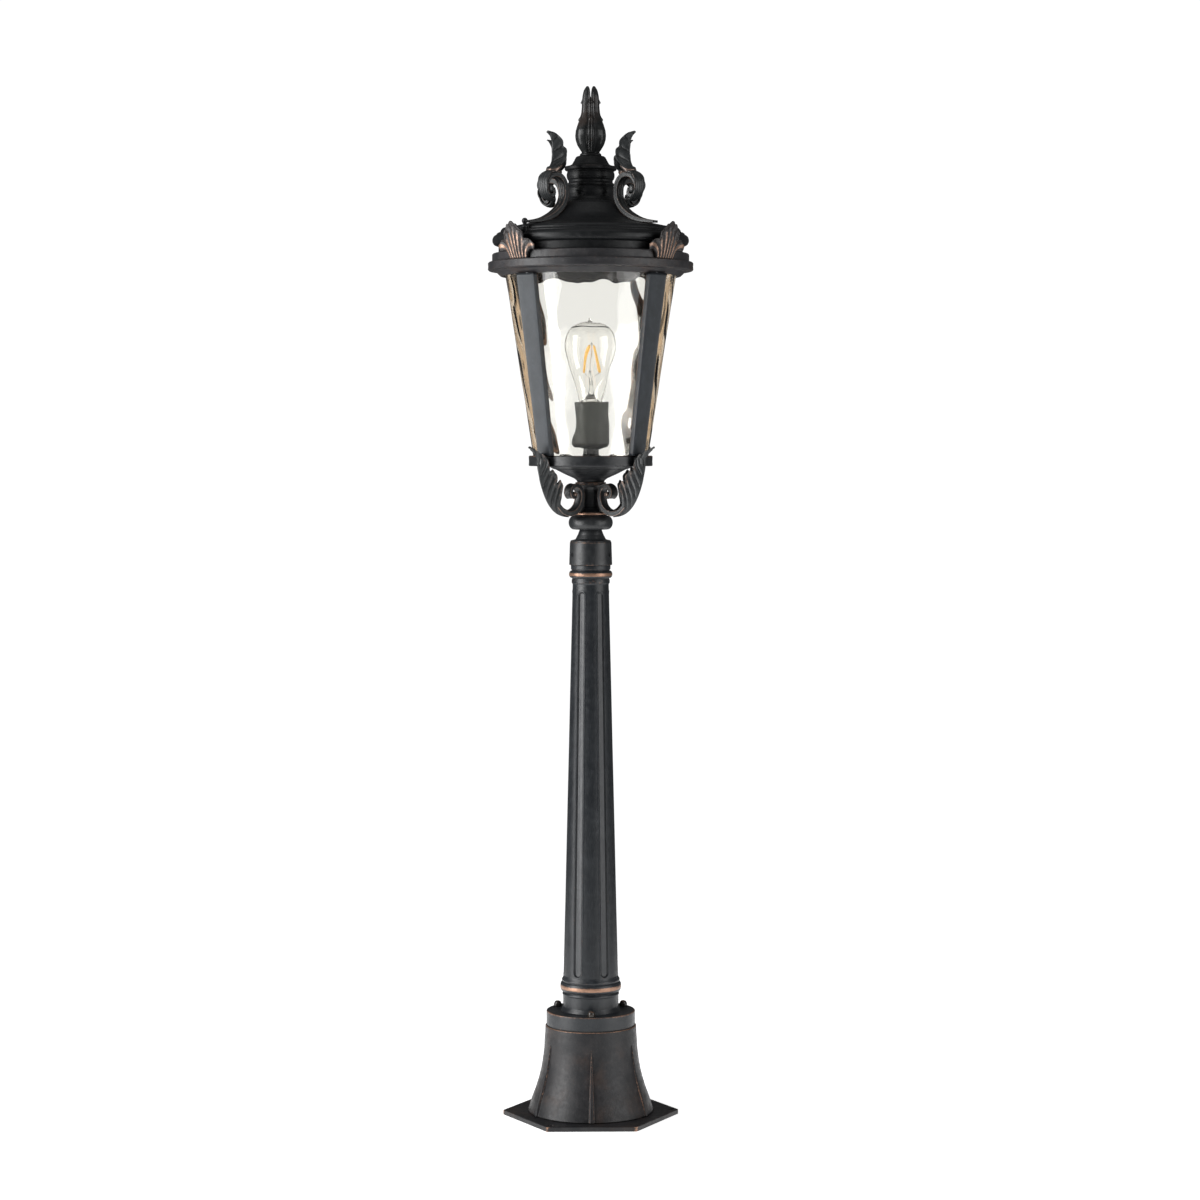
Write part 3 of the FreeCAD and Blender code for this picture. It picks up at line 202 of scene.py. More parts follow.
M = {
    "antique_casting": cast_mat("antique_casting"),
    # painted shade: the bell gets a darker, less shiny copy of the casting paint, to offset the light the floor throws
    # on it
    "bell": cast_mat("bell_casting_shaded", dark=(0.011, 0.0113, 0.013), patch=(0.023, 0.0215, 0.0225), warm=0.35, rough=(0.34, 0.50), spec=0.36),
    "shaft": cast_mat("shaft_casting", dark=(0.010, 0.0125, 0.0155), patch=(0.017, 0.020, 0.0235), rough=(0.28, 0.42), grain=0.7),
    # painted light: the ribs get a lighter copy of the casting paint, standing in for the softbox light on their faces
    "rib": cast_mat("rib_casting", dark=(0.025, 0.030, 0.035), patch=(0.034, 0.040, 0.047), rough=(0.40, 0.52), grain=0.3),
    "leaf": cast_mat("leaf_casting", dark=(0.017, 0.0195, 0.021), patch=(0.034, 0.037, 0.038), copper=(0.25, 0.175, 0.140), rough=(0.28, 0.42), gain=0.85, grain=0.35),
    "nut": cast_mat("nut_brass", dark=(0.012, 0.011, 0.010), patch=(0.030, 0.024, 0.019), rough=(0.16, 0.26), grain=0.15),
    "ring": cast_mat("ring_casting", dark=(0.016, 0.0165, 0.019), patch=(0.034, 0.032, 0.034), warm=0.40, rough=(0.38, 0.54), grain=0.9),
    "budm": cast_mat("bud_casting", dark=(0.009, 0.0105, 0.011), patch=(0.018, 0.0195, 0.020), rough=(0.26, 0.38), grain=0.25, gain=0.8, warm=0.35),
    # painted shade: the roof, drum and cap get a much darker, less shiny copy of the casting paint, standing in for the
    # little light reaching them from above
    "roof": cast_mat("roof_casting_shaded", dark=(0.004, 0.0048, 0.006), patch=(0.008, 0.009, 0.010), rough=(0.36, 0.50), gain=0.6, spec=0.36),
    "rubbed": cast_mat("rubbed_copper", dark=(0.028, 0.024, 0.024), patch=(0.040, 0.033, 0.031), copper=(0.34, 0.215, 0.155), gain=0.92, grain=0.3, rough=(0.36, 0.46)),
    "black_rubber": plain_mat("black_rubber", (0.012, 0.012, 0.012), 0.0, 0.75, bump=0.2),
    "zinc_steel": plain_mat("zinc_steel", (0.50, 0.51, 0.52), 1.0, 0.32),
    "dark_steel": plain_mat("dark_steel", (0.016, 0.017, 0.019), 0.2, 0.30, bump=0.15),
    "white_plastic": plain_mat("white_plastic", (0.74, 0.73, 0.69), 0.0, 0.45),
    "cable_sheath": plain_mat("cable_sheath", (0.014, 0.014, 0.014), 0.0, 0.5, bump=0.1),
    "white_porcelain": plain_mat("white_porcelain", (0.80, 0.79, 0.75), 0.0, 0.2, coat=0.6),
    "brass": plain_mat("brass", (0.70, 0.50, 0.22), 1.0, 0.28),
    "nickel_plate": plain_mat("nickel_plate", (0.62, 0.60, 0.56), 1.0, 0.24),
    "olive_sleeve": plain_mat("olive_sleeve", (0.026, 0.028, 0.024), 0.0, 0.5, color2=(0.038, 0.041, 0.034), scale=90.0, bump=0.25),
    "glass": glass_mat("rippled_glass", (0.935, 0.930, 0.900), (0.62, 0.43, 0.255), lo=0.22, hi=0.58),
    "bulb": glass_mat("bulb_clear_glass", (0.99, 0.985, 0.97), (0.86, 0.84, 0.80), ior=1.45, blend=0.3),
    "amber": None,
}
_m, _nt, _b = new_mat("amber_phosphor")
_n = tex(_nt, 900.0, 3.0, 0.6)
_nt.links.new(mixed(_nt, ranged(_nt, _n, 0.3, 0.7), (1.0, 0.50, 0.06), (1.0, 0.72, 0.22)), _b.inputs["Base Color"])
_b.inputs["Roughness"].default_value = 0.45
# painted glow: the unlit filament paint is given a faint amber emission
_b.inputs["Emission Color"].default_value = (1.0, 0.55, 0.10, 1.0)
_b.inputs["Emission Strength"].default_value = 0.45
M["amber"] = _m

SLOT_MAT = {
    "antique_casting": "antique_casting", "rubbed_copper_casting": "rubbed", "black_rubber": "black_rubber", "zinc_steel": "zinc_steel",
    "dark_steel": "dark_steel", "aged_brass": "antique_casting", "white_plastic": "white_plastic", "cable_sheath": "cable_sheath",
    "rippled_glass": "glass", "bulb_clear_glass": "bulb", "amber_phosphor": "amber", "olive_sleeve": "olive_sleeve",
    "white_porcelain": "white_porcelain", "brass": "brass", "nickel_plate": "nickel_plate"}
for _row in frame["record"]["subparts"]:
    _o = NODES[_row["node"]]
    _o.data.materials.clear()
    _o.data.materials.append(M[SLOT_MAT[_row["material_slot"]]])
    for _p in _o.data.polygons:
        _p.use_smooth = True
    _mod = _o.modifiers.new("weighted", "WEIGHTED_NORMAL")
    _mod.keep_sharp = True
BODY_OF = {n: b for b, ns in frame["record"]["behaviour"]["bodies"].items() for n in ns}


# ------------------------------------------------------------------ mesh helpers
class Geo:
    """Points (mm), faces, a wear value and a painted hollow-shade value for each point."""

    def __init__(self):
        self.v, self.f, self.w, self.h = [], [], [], []

    def add(self, verts, faces, wear=None, hollow_shade=None):
        base = len(self.v)
        verts = np.asarray(verts, float).reshape(-1, 3)
        self.v.extend(verts.tolist())
        self.f.extend([[base + i for i in f] for f in faces])
        n = len(verts)
        self.w.extend([0.0] * n if wear is None else np.clip(np.asarray(wear, float).reshape(-1), 0, 1).tolist())
        self.h.extend([0.0] * n if hollow_shade is None else np.clip(np.asarray(hollow_shade, float).reshape(-1), 0, 1).tolist())
        return self

    def join(self, other):
        return self.add(other.v, other.f, other.w, other.h)


def mesh_obj(name, geo, mat, node=None, body=None, az=0.0, weighted=True, mirror=False):
    me = bpy.data.meshes.new(name)
    v = np.array(geo.v, float)
    if mirror:
        v[:, 1] *= -1
    a = math.radians(az)
    r = np.array([[cos(a), -sin(a), 0], [sin(a), cos(a), 0], [0, 0, 1]])
    v = (v @ r.T) * 0.001
    me.from_pydata(v.tolist(), [], geo.f)
    me.update()
    for key, vals in (("wear", geo.w), ("hollow_shade", geo.h)):
        at = me.attributes.new(key, "FLOAT", "POINT")
        at.data.foreach_set("value", np.array(vals, np.float32))
    bm = bmesh.new()
    bm.from_mesh(me)
    bmesh.ops.remove_doubles(bm, verts=bm.verts, dist=1e-6)
    bmesh.ops.dissolve_degenerate(bm, dist=1e-7, edges=bm.edges)
    bmesh.ops.recalc_face_normals(bm, faces=bm.faces)
    for fc in bm.faces:
        fc.smooth = True
    bm.to_mesh(me)
    bm.free()
    o = bpy.data.objects.new(name, me)
    bpy.context.scene.collection.objects.link(o)
    me.materials.append(M[mat])
    if weighted:
        mod = o.modifiers.new("weighted", "WEIGHTED_NORMAL")
        mod.keep_sharp = True
        mod.weight = 90
    nodes = [node] if isinstance(node, str) else (node or [])
    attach(o, body or BODY_OF[nodes[0]])
    if nodes:
        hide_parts(*nodes)
    return o


def arc_corner(p0, p1, p2, rad, n=5):
    """Points of a fillet of radius rad at p1, or None when the corner is nearly straight."""
    a, b, c = np.array(p0, float), np.array(p1, float), np.array(p2, float)
    u, v = a - b, c - b
    lu, lv = np.linalg.norm(u), np.linalg.norm(v)
    if lu < 1e-6 or lv < 1e-6:
        return None
    u, v = u / lu, v / lv
    ang = math.acos(max(-1, min(1, float(u @ v))))
    if ang > math.radians(166) or ang < math.radians(4):
        return None
    t = min(rad / math.tan(ang / 2), 0.42 * lu, 0.42 * lv)
    r = t * math.tan(ang / 2)
    cen = b + (u + v) / np.linalg.norm(u + v) * (r / math.sin(ang / 2))
    s, e = b + u * t, b + v * t
    a0 = math.atan2(*(s - cen)[::-1])
    a1 = math.atan2(*(e - cen)[::-1])
    d = (a1 - a0 + pi) % (2 * pi) - pi
    return [(cen[0] + r * cos(a0 + d * k / (n - 1)), cen[1] + r * sin(a0 + d * k / (n - 1))) for k in range(n)]


def rounded(points, rad=0.6, wear=0.75, closed=True, step=None):
    """A profile of (r, z[, wear[, radius]]) with its corners rounded; convex corners get the wear."""
    out = []
    n = len(points)
    for i, p in enumerate(points):
        r0, z0 = p[0], p[1]
        w = p[2] if len(p) > 2 and p[2] is not None else wear
        fr = p[3] if len(p) > 3 else rad
        if not closed and i in (0, n - 1):
            out.append((r0, z0, 0.0))
            continue
        a, c = points[(i - 1) % n], points[(i + 1) % n]
        arc = arc_corner(a[:2], (r0, z0), c[:2], fr) if fr > 0 else None
        turn = (r0 - a[0]) * (c[1] - z0) - (z0 - a[1]) * (c[0] - r0)
        if arc is None:
            out.append((r0, z0, p[2] if len(p) > 2 and p[2] is not None else 0.0))
            continue
        k = w if turn > 0 else 0.0
        for j, q in enumerate(arc):
            out.append((q[0], q[1], k * (0.72 if j in (0, len(arc) - 1) else 1.0)))
    if step:
        fine = []
        m = len(out)
        for i in range(m if closed else m - 1):
            a, b = out[i], out[(i + 1) % m]
            length = math.hypot(b[0] - a[0], b[1] - a[1])
            k = max(1, int(math.ceil(length / step)))
            fine.append(a)
            if k > 1:
                guard = min(0.5, length / 4)
                ts = [guard / length] + [j / k for j in range(1, k) if guard / length < j / k < 1 - guard / length] + [1 - guard / length]
                for t in ts:
                    fine.append((a[0] + (b[0] - a[0]) * t, a[1] + (b[1] - a[1]) * t, 0.0 if (a[2] == 0 or b[2] == 0 or t not in (ts[0], ts[-1])) else 0.0))
        if not closed:
            fine.append(out[-1])
        out = fine
    return out


def lathe(profile, segs=128, closed=True, shape=None, wearf=None, centre=(0.0, 0.0)):
    """Turns a profile of (r, z, wear). shape(theta, r, z) may change r; wearf(theta, r, z, w) may change the wear."""
    g = Geo()
    n = len(profile)
    th = np.linspace(0, 2 * pi, segs, endpoint=False)
    R = np.array([p[0] for p in profile], float)
    Z = np.array([p[1] for p in profile], float)
    W = np.array([p[2] if len(p) > 2 else 0.0 for p in profile], float)
    TH, RR = np.meshgrid(th, R, indexing="ij")
    ZZ = np.broadcast_to(Z, RR.shape).copy()
    WW = np.broadcast_to(W, RR.shape).copy()
    HH = np.zeros_like(WW)
    if shape is not None:
        RR, ZZ, WW, HH = shape(TH, RR, ZZ, WW)
    if wearf is not None:
        WW = wearf(TH, RR, ZZ, WW)
    verts = np.stack([RR * np.cos(TH) + centre[0], RR * np.sin(TH) + centre[1], ZZ], -1)
    faces = []
    for i in range(segs):
        i2 = (i + 1) % segs
        for j in range(n if closed else n - 1):
            j2 = (j + 1) % n
            q = [i * n + j, i2 * n + j, i2 * n + j2, i * n + j2]
            if R[j] < 1e-6 and R[j2] < 1e-6:
                continue
            if R[j] < 1e-6:
                q = [i * n + j, i2 * n + j2, i * n + j2]
            elif R[j2] < 1e-6:
                q = [i * n + j, i2 * n + j, i * n + j2]
            faces.append(q)
    return g.add(verts, faces, WW, HH)


def shell(front, back, wf=None, wb=None, shade_front=None, shade_back=None):
    """A closed skin from two grids of points, joined round their rim."""
    nu, nv = front.shape[:2]
    n = nu * nv
    idx = np.arange(n).reshape(nu, nv)
    faces = []
    for i in range(nu - 1):
        for j in range(nv - 1):
            a, b, c, d = idx[i, j], idx[i + 1, j], idx[i + 1, j + 1], idx[i, j + 1]
            faces.append([a, b, c, d])
            faces.append([n + d, n + c, n + b, n + a])
    rim = [idx[0, j] for j in range(nv)] + [idx[i, nv - 1] for i in range(1, nu)] + [idx[nu - 1, j] for j in range(nv - 2, -1, -1)] + \
          [idx[i, 0] for i in range(nu - 2, 0, -1)]
    m = len(rim)
    for k in range(m):
        a, b = rim[k], rim[(k + 1) % m]
        faces.append([a, n + a, n + b, b])
    z = np.zeros((nu, nv))
    g = Geo()
    g.add(np.concatenate([front.reshape(-1, 3), back.reshape(-1, 3)]), faces,
          np.concatenate([(z if wf is None else wf).reshape(-1), (z if wb is None else wb).reshape(-1)]),
          np.concatenate([(z if shade_front is None else shade_front).reshape(-1), (z if shade_back is None else shade_back).reshape(-1)]))
    return g


def grid_normals(P, toward):
    du = np.gradient(P, axis=0)
    dv = np.gradient(P, axis=1)
    n = np.cross(du, dv)
    n /= np.maximum(np.linalg.norm(n, axis=-1, keepdims=True), 1e-9)
    s = np.sign((n * toward).sum(-1, keepdims=True))
    s[s == 0] = 1
    return n * s


def smoothstep(a, b, x):
    t = np.clip((x - a) / (b - a), 0, 1)
    return t * t * (3 - 2 * t)


def spline(points, per=10):
    """Catmull-Rom through rows of numbers, evenly spaced by length of their first two columns."""
    P = np.array(points, float)
    out = []
    n = len(P)
    for i in range(n - 1):
        p0, p1, p2, p3 = P[max(i - 1, 0)], P[i], P[i + 1], P[min(i + 2, n - 1)]
        for k in range(per):
            t = k / per
            out.append(0.5 * (2 * p1 + (p2 - p0) * t + (2 * p0 - 5 * p1 + 4 * p2 - p3) * t * t + (3 * p1 - p0 - 3 * p2 + p3) * t ** 3))
    out.append(P[-1])
    return np.array(out)


def by_length(D, m):
    seg = np.hypot(np.diff(D[:, 0]), np.diff(D[:, 1]))
    s = np.concatenate([[0], np.cumsum(seg)])
    s /= s[-1]
    q = np.linspace(0, 1, m)
    return np.stack([np.interp(q, s, D[:, c]) for c in range(D.shape[1])], 1)


def sweep(path, section, wears, hollow_shades=None, scale=None, caps=True):
    """A closed section of (across, out) points carried along a path in the XZ plane. scale gives (width, thickness) factors along it."""
    P = by_length(spline(path, 14), 4 * len(path) + 16)
    m = len(P)
    T = np.gradient(P, axis=0)
    T /= np.linalg.norm(T, axis=1, keepdims=True)
    N = np.stack([-T[:, 1], T[:, 0]], 1)
    sec = np.array(section, float)
    k = len(sec)
    V = np.zeros((m, k, 3))
    for i in range(m):
        ws, ts = scale(i / (m - 1)) if scale else (1.0, 1.0)
        V[i, :, 0] = P[i, 0] + N[i, 0] * sec[:, 1] * ts
        V[i, :, 1] = sec[:, 0] * ws
        V[i, :, 2] = P[i, 1] + N[i, 1] * sec[:, 1] * ts
    faces = []
    for i in range(m - 1):
        for j in range(k):
            j2 = (j + 1) % k
            faces.append([i * k + j, (i + 1) * k + j, (i + 1) * k + j2, i * k + j2])
    W = np.broadcast_to(np.array(wears, float), (m, k)).copy()
    H = np.broadcast_to(np.array(hollow_shades if hollow_shades is not None else np.zeros(k), float), (m, k)).copy()
    verts = V.reshape(-1, 3).tolist()
    w, h = W.reshape(-1).tolist(), H.reshape(-1).tolist()
    if caps:
        for i, rev in ((0, True), (m - 1, False)):
            c = V[i].mean(0)
            push = (-1 if rev else 1) * np.array([T[i, 0], 0, T[i, 1]]) * 0.5
            verts.append((c + push).tolist())
            w.append(0.4)
            h.append(0.0)
            ci = len(verts) - 1
            for j in range(k):
                j2 = (j + 1) % k
                faces.append([i * k + j2, i * k + j, ci] if rev else [i * k + j, i * k + j2, ci])
    return Geo().add(verts, faces, w, h)


def strap_section(half, t, bead=1.15, sink=0.75, mid=0.0):
    """Section of a bead-edged bar; mid raises a ridge down the middle of both faces."""
    top = [(-half + 0.12, t / 2 - 1.7, 0.0), (-half, t / 2 - 1.0, 0.30), (-half + 0.25, t / 2 - 0.25, 0.85), (-half + bead * 0.5, t / 2, 0.85), (-half + bead, t / 2 - 0.22, 0.35),
           (-half + bead * 1.35, t / 2 - sink, 0.0), (-half * 0.45, t / 2 - sink - 0.05, 0.0)]
    if mid:
        top += [(-1.5, t / 2 - sink, 0.0), (-0.8, t / 2 - sink + mid * 0.8, 0.4), (0.0, t / 2 - sink + mid, 0.55)]
    else:
        top += [(0.0, t / 2 - sink, 0.0)]
    right = [(-y, n, w) for y, n, w in reversed(top[:-1])]
    upper = top + right
    lower = [(-y, -n, w) for y, n, w in upper]
    full = upper + lower
    sec = [(y, n) for y, n, _ in full]
    wear = [w for _, _, w in full]
    # painted shade: the sunken panel between the edge beads gets the hollow-shade value
    hollow_shade = [0.75 if w == 0.0 and abs(y) < half - bead else 0.0 for y, n, w in full]
    return sec, wear, hollow_shade


def acanthus(stations, flutes=9, delta=0.42, amp=0.95, thick=1.9, curl=1.3, power=1.35, notch=(0.10, 0.20), side=1.0, wear=0.75, group=2, start=0.0):
    """A folded, fluted leaf blade. Stations: x, z, nx, nz, half width, fold depth. The flutes leave the spine and rise to lobes on the edges."""
    st = np.array([s[:6] for s in stations], float)
    ln = np.hypot(st[:, 2], st[:, 3])
    st[:, 2] /= ln
    st[:, 3] /= ln
    D = by_length(spline(st, 12), 400)
    q = np.linspace(0, 1, 400)

    def S(s):
        return [np.interp(s, q, D[:, c]) for c in range(6)]

    na, nv = flutes * 9 + 1, 45
    a = np.linspace(0, flutes, na)[:, None] * np.ones((1, nv))
    v = np.ones((na, 1)) * np.linspace(-1, 1, nv)[None, :]
    t = np.abs(v)
    s0 = start + (1 - start) * a / flutes
    d = delta * (1 - s0) ** 0.8
    fine = np.abs(np.cos(pi * a)) ** 5
    big = np.abs(np.cos(pi * a / group)) ** 9
    tm = t * (1 - notch[0] * fine - notch[1] * big)
    s = np.clip(s0 + d * tm ** 1.05, 0, 1)
    x, z, nx, nz, half, fold = S(s)
    ln = np.hypot(nx, nz)
    nx, nz = nx / ln, nz / ln
    inward = fold * tm ** power
    P = np.stack([x - nx * inward, side * np.sign(v) * half * tm ** 0.96, z - nz * inward], -1)
    toward = np.stack([nx, 0.9 * np.sign(v), nz], -1)
    N = grid_normals(P, toward)
    rid = np.abs(np.sin(pi * a)) ** 0.6
    env = smoothstep(0.05, 0.34, t) * (1 - 0.45 * smoothstep(0.85, 1.0, t)) * smoothstep(0, 0.6, a) * (1 - smoothstep(flutes - 1.2, flutes, a))
    front = P + N * (amp * (rid - 0.78) * env)[..., None] + N * (curl * smoothstep(0.72, 1.0, t) ** 2 * (1 - 0.5 * s))[..., None]
    th = thick * (0.55 + 0.45 * (1 - smoothstep(0.7, 1.0, t))) * (1 - 0.55 * smoothstep(0.8, 1.0, s))
    back = front - N * th[..., None]
    wf = wear * (0.15 + 0.85 * smoothstep(0.80, 1.0, rid)) * smoothstep(0.25, 0.9, t) * env + 0.85 * wear * smoothstep(0.93, 1.0, t)
    # painted shade: the grooves between the flutes are darkened, and the back of the blade (0.35) as well
    shade_front = env * (1 - smoothstep(0.0, 0.62, rid)) * 1.0
    return shell(front, back, wf, None, shade_front, np.full(shade_front.shape, 0.35))


def box_geo(lo, hi, rad=0.4, wear=0.5):
    """A box with rounded edges."""
    g = Geo()
    bm = bmesh.new()
    bmesh.ops.create_cube(bm, size=1.0)
    for v in bm.verts:
        v.co = Vector([(lo[i] + hi[i]) / 2 + v.co[i] * (hi[i] - lo[i]) for i in range(3)])
    bmesh.ops.bevel(bm, geom=list(bm.edges), offset=rad, segments=3, profile=0.5, affect="EDGES")
    bm.verts.ensure_lookup_table()
    g.add([list(v.co) for v in bm.verts], [[v.index for v in f.verts] for f in bm.faces], [wear * 0.5] * len(bm.verts))
    bm.free()
    return g


# ------------------------------------------------------------------ foot and bell
BELL = [(74.9, 12.4), (71.8, 22.3), (70.0, 27.3), (68.1, 32.2), (66.4, 37.2), (64.9, 42.2), (63.4, 47.1), (62.2, 52.1), (60.9, 57.0), (60.1, 62.0),
        (59.2, 67.0), (58.5, 71.9), (57.9, 76.9), (57.3, 81.8), (56.9, 86.8), (56.7, 91.7), (56.4, 96.7), (56.0, 101.6), (55.8, 106.6)]


def foot():
    g = Geo()
    R, H = 107.6, 5.8
    # hexagon outline with small rounded corners
    def ring(r, z, rc=1.6):
        pts = []
        for k in range(6):
            a = math.radians(60 * k)
            c = np.array([r * cos(a), r * sin(a)])
            p = np.array([r * cos(a - pi / 3), r * sin(a - pi / 3)])
            n = np.array([r * cos(a + pi / 3), r * sin(a + pi / 3)])
            arc = arc_corner(p, c, n, rc, 5)
            # points along the side before this corner
            prev = arc_corner(np.array([r * cos(a - 2 * pi / 3), r * sin(a - 2 * pi / 3)]), p, c, rc, 5)[-1]
            for j in range(1, 28):
                t = j / 28
                pts.append((prev[0] + (arc[0][0] - prev[0]) * t, prev[1] + (arc[0][1] - prev[1]) * t, z, 0))
            pts.extend([(q[0], q[1], z, 1) for q in arc])
        return pts
    levels = [(R - 1.5, 0.0, 0.0), (R - 0.15, 0.0, 0.2), (R, 0.35, 0.2), (R, 1.2, 0.0), (R, H - 1.5, 0.0), (R, H - 0.7, 0.30), (R - 0.35, H - 0.15, 0.45), (R - 0.9, H, 0.30), (R - 2.2, H, 0.0)]
    rows = [ring(r, z) for r, z, _ in levels]
    m = len(rows[0])
    verts, wear = [], []
    for (r, z, w), row in zip(levels, rows):
        for x, y, zz, corner in row:
            verts.append((x, y, zz))
            wear.append(w * (1.0 if corner else 0.62) + (0.62 if corner and 0.2 < z < H - 0.2 else 0.0))
    faces = []
    for i in range(len(levels) - 1):
        for j in range(m):
            faces.append([i * m + j, i * m + (j + 1) % m, (i + 1) * m + (j + 1) % m, (i + 1) * m + j])
    g.add(verts, faces, wear)
    # the plate's top and underside, with the anchor holes
    from mathutils.geometry import delaunay_2d_cdt
    hole_xy = [(98.3 * cos(math.radians(a)), 98.3 * sin(math.radians(a))) for a in (0, 120, 240)]
    for z, outer, inner_r, sign in ((H, rows[-1], 70.0, 1), (0.0, rows[0], 67.5, -1)):
        pts = [(p[0], p[1]) for p in outer]
        edges = [(i, (i + 1) % m) for i in range(m)]
        loops = []
        for (hx, hy) in hole_xy:
            b = len(pts)
            pts += [(hx + 3.9 * cos(2 * pi * k / 32), hy + 3.9 * sin(2 * pi * k / 32)) for k in range(32)]
            edges += [(b + k, b + (k + 1) % 32) for k in range(32)]
            loops.append((hx, hy, 3.9))
        b = len(pts)
        pts += [(inner_r * cos(2 * pi * k / 144), inner_r * sin(2 * pi * k / 144)) for k in range(144)]
        edges += [(b + k, b + (k + 1) % 144) for k in range(144)]
        for rr, cnt in ((78.0, 96), (86.0, 96), (92.0, 96)):
            for k in range(cnt):
                x, y = rr * cos(2 * pi * k / cnt), rr * sin(2 * pi * k / cnt)
                inside = all(x * cos(math.radians(30 + 60 * q)) + y * sin(math.radians(30 + 60 * q)) < (R - 3.5) * cos(pi / 6) for q in range(6))
                if inside and all(math.hypot(x - hx, y - hy) > 5.5 for hx, hy in hole_xy):
                    pts.append((x, y))
        v2, _, f2, _, _, _ = delaunay_2d_cdt([Vector(p) for p in pts], edges, [], 1, 1e-5)
        keep = []
        for f in f2:
            cx, cy = sum(v2[i][0] for i in f) / len(f), sum(v2[i][1] for i in f) / len(f)
            if math.hypot(cx, cy) < inner_r - 0.05:
                continue
            if any(math.hypot(cx - hx, cy - hy) < rr - 0.02 for hx, hy, rr in loops):
                continue
            keep.append(list(f))
        g.add([(p[0], p[1], z) for p in v2], keep)
    for hx, hy in hole_xy:
        prof = [(3.9, 0.0, 0.0), (3.5, 0.4, 0.0), (3.5, H - 0.5, 0.0), (3.6, H - 0.2, 0.4), (3.9, H, 0.5)]
        g.join(lathe(prof, 32, closed=False, centre=(hx, hy)))
    # bell: outer surface with the six ridges, top, and the inside
    zs = [5.8, 7.0, 9.0, 11.0] + [p[1] for p in BELL] + [109.5, 110.6]
    rs = [77.4, 76.6, 75.9, 75.3] + [p[0] for p in BELL] + [55.65, 55.6]
    zz = np.concatenate([np.linspace(5.8, 110.5, 72)])
    rr = np.interp(zz, zs, rs)
    prof = [(70.0, 5.8, 0.0)] + [(r, z, 0.0) for r, z in zip(rr, zz)]
    prof += [(55.5, 110.9, 0.7), (55.2, 111.3, 0.9), (54.7, 111.5, 0.6), (50.0, 111.5, 0.0), (16.0, 111.5, 0.0), (16.0, 105.5, 0.0), (50.2, 105.5, 0.0)]
    inner = [(52.9, 76.9), (58.2, 47.1), (67.5, 16.4), (67.5, 0.0)]
    for (r0, z0), (r1, z1) in zip([(50.2, 105.5)] + inner[:-1], inner):
        for t in (0.5, 1.0):
            prof.append((r0 + (r1 - r0) * t, z0 + (z1 - z0) * t, 0.0))
    rz = np.array([5.8, 20.0, 38.0, 58.0, 78.0, 91.0])
    ra = np.array([78.6, 75.2, 69.4, 63.0, 58.9, 57.0]) + 0.5
    rh = np.array([4.6, 3.9, 3.1, 2.2, 1.3, 0.5])

    def ridges(TH, RR, ZZ, WW):
        phi = (TH - pi / 6 + pi / 6) % (pi / 3) - pi / 6
        out = (np.abs(RR - np.interp(ZZ, zs, rs)) < 0.4) & (ZZ < 110.0)
        apex = np.interp(ZZ, rz, ra) + (ZZ > 91) * -4
        hw = np.interp(ZZ, rz, rh)
        base_r = np.interp(ZZ, zs, rs) - 1.0
        # V section: straight line from (apex, 0) to (base_r, hw)
        across = RR * np.abs(np.sin(phi))
        k = np.clip(across / np.maximum(hw, 0.05), 0, 1)
        ridge = apex + (base_r - apex) * smoothstep(0.30, 1.0, k) * 0.98
        ridge = np.where(ZZ <= 91.5, ridge, 0)
        new = np.where(out & (k < 1), np.maximum(RR, ridge), RR)
        up = np.clip((new - RR) / 1.2, 0, 1)
        crest = (0.95 * np.exp(-((across - 0.60 * hw - 0.1) / 0.42) ** 2) + 0.22 * (across < 0.45 * hw)) * (ZZ < 90) * out
        # painted shade: a dark line along the foot of each ridge, where it meets the bell wall
        ridge_foot_shade = np.exp(-((across - hw) / 0.5) ** 2) * (ZZ < 84) * out
        W2 = np.maximum(WW, 0.74 * crest * up)
        H2 = 0.75 * ridge_foot_shade
        return new, ZZ, W2, H2
    segs = 6 * 96
    th = []
    # denser round the ridges
    u = np.linspace(-1, 1, 97)[:-1]
    loc = np.sign(u) * (np.abs(u) ** 1.9) * (pi / 6)
    gth = np.concatenate([loc + math.radians(30 + 60 * k) for k in range(6)])
    g2 = Geo()
    R_ = np.array([p[0] for p in prof])
    Z_ = np.array([p[1] for p in prof])
    W_ = np.array([p[2] for p in prof])
    # the lower edge of the inside is the plate's own opening
    TH, RR = np.meshgrid(gth, R_, indexing="ij")
    ZZ = np.broadcast_to(Z_, RR.shape).copy()
    WW = np.broadcast_to(W_, RR.shape).copy()
    RR, ZZ, WW, HH = ridges(TH, RR, ZZ, WW)
    n, sgs = len(prof), len(gth)
    verts = np.stack([RR * np.cos(TH), RR * np.sin(TH), ZZ], -1)
    faces = [[i * n + j, ((i + 1) % sgs) * n + j, ((i + 1) % sgs) * n + j + 1, i * n + j + 1] for i in range(sgs) for j in range(n - 1)]
    g2.add(verts, faces, WW, HH)
    g.join(g2)
    return g


mesh_obj("base_bell", foot(), "bell", "base_casting")

# ------------------------------------------------------------------ post
_sl = (33.2 - 22.0) / (651.7 - 175.8)


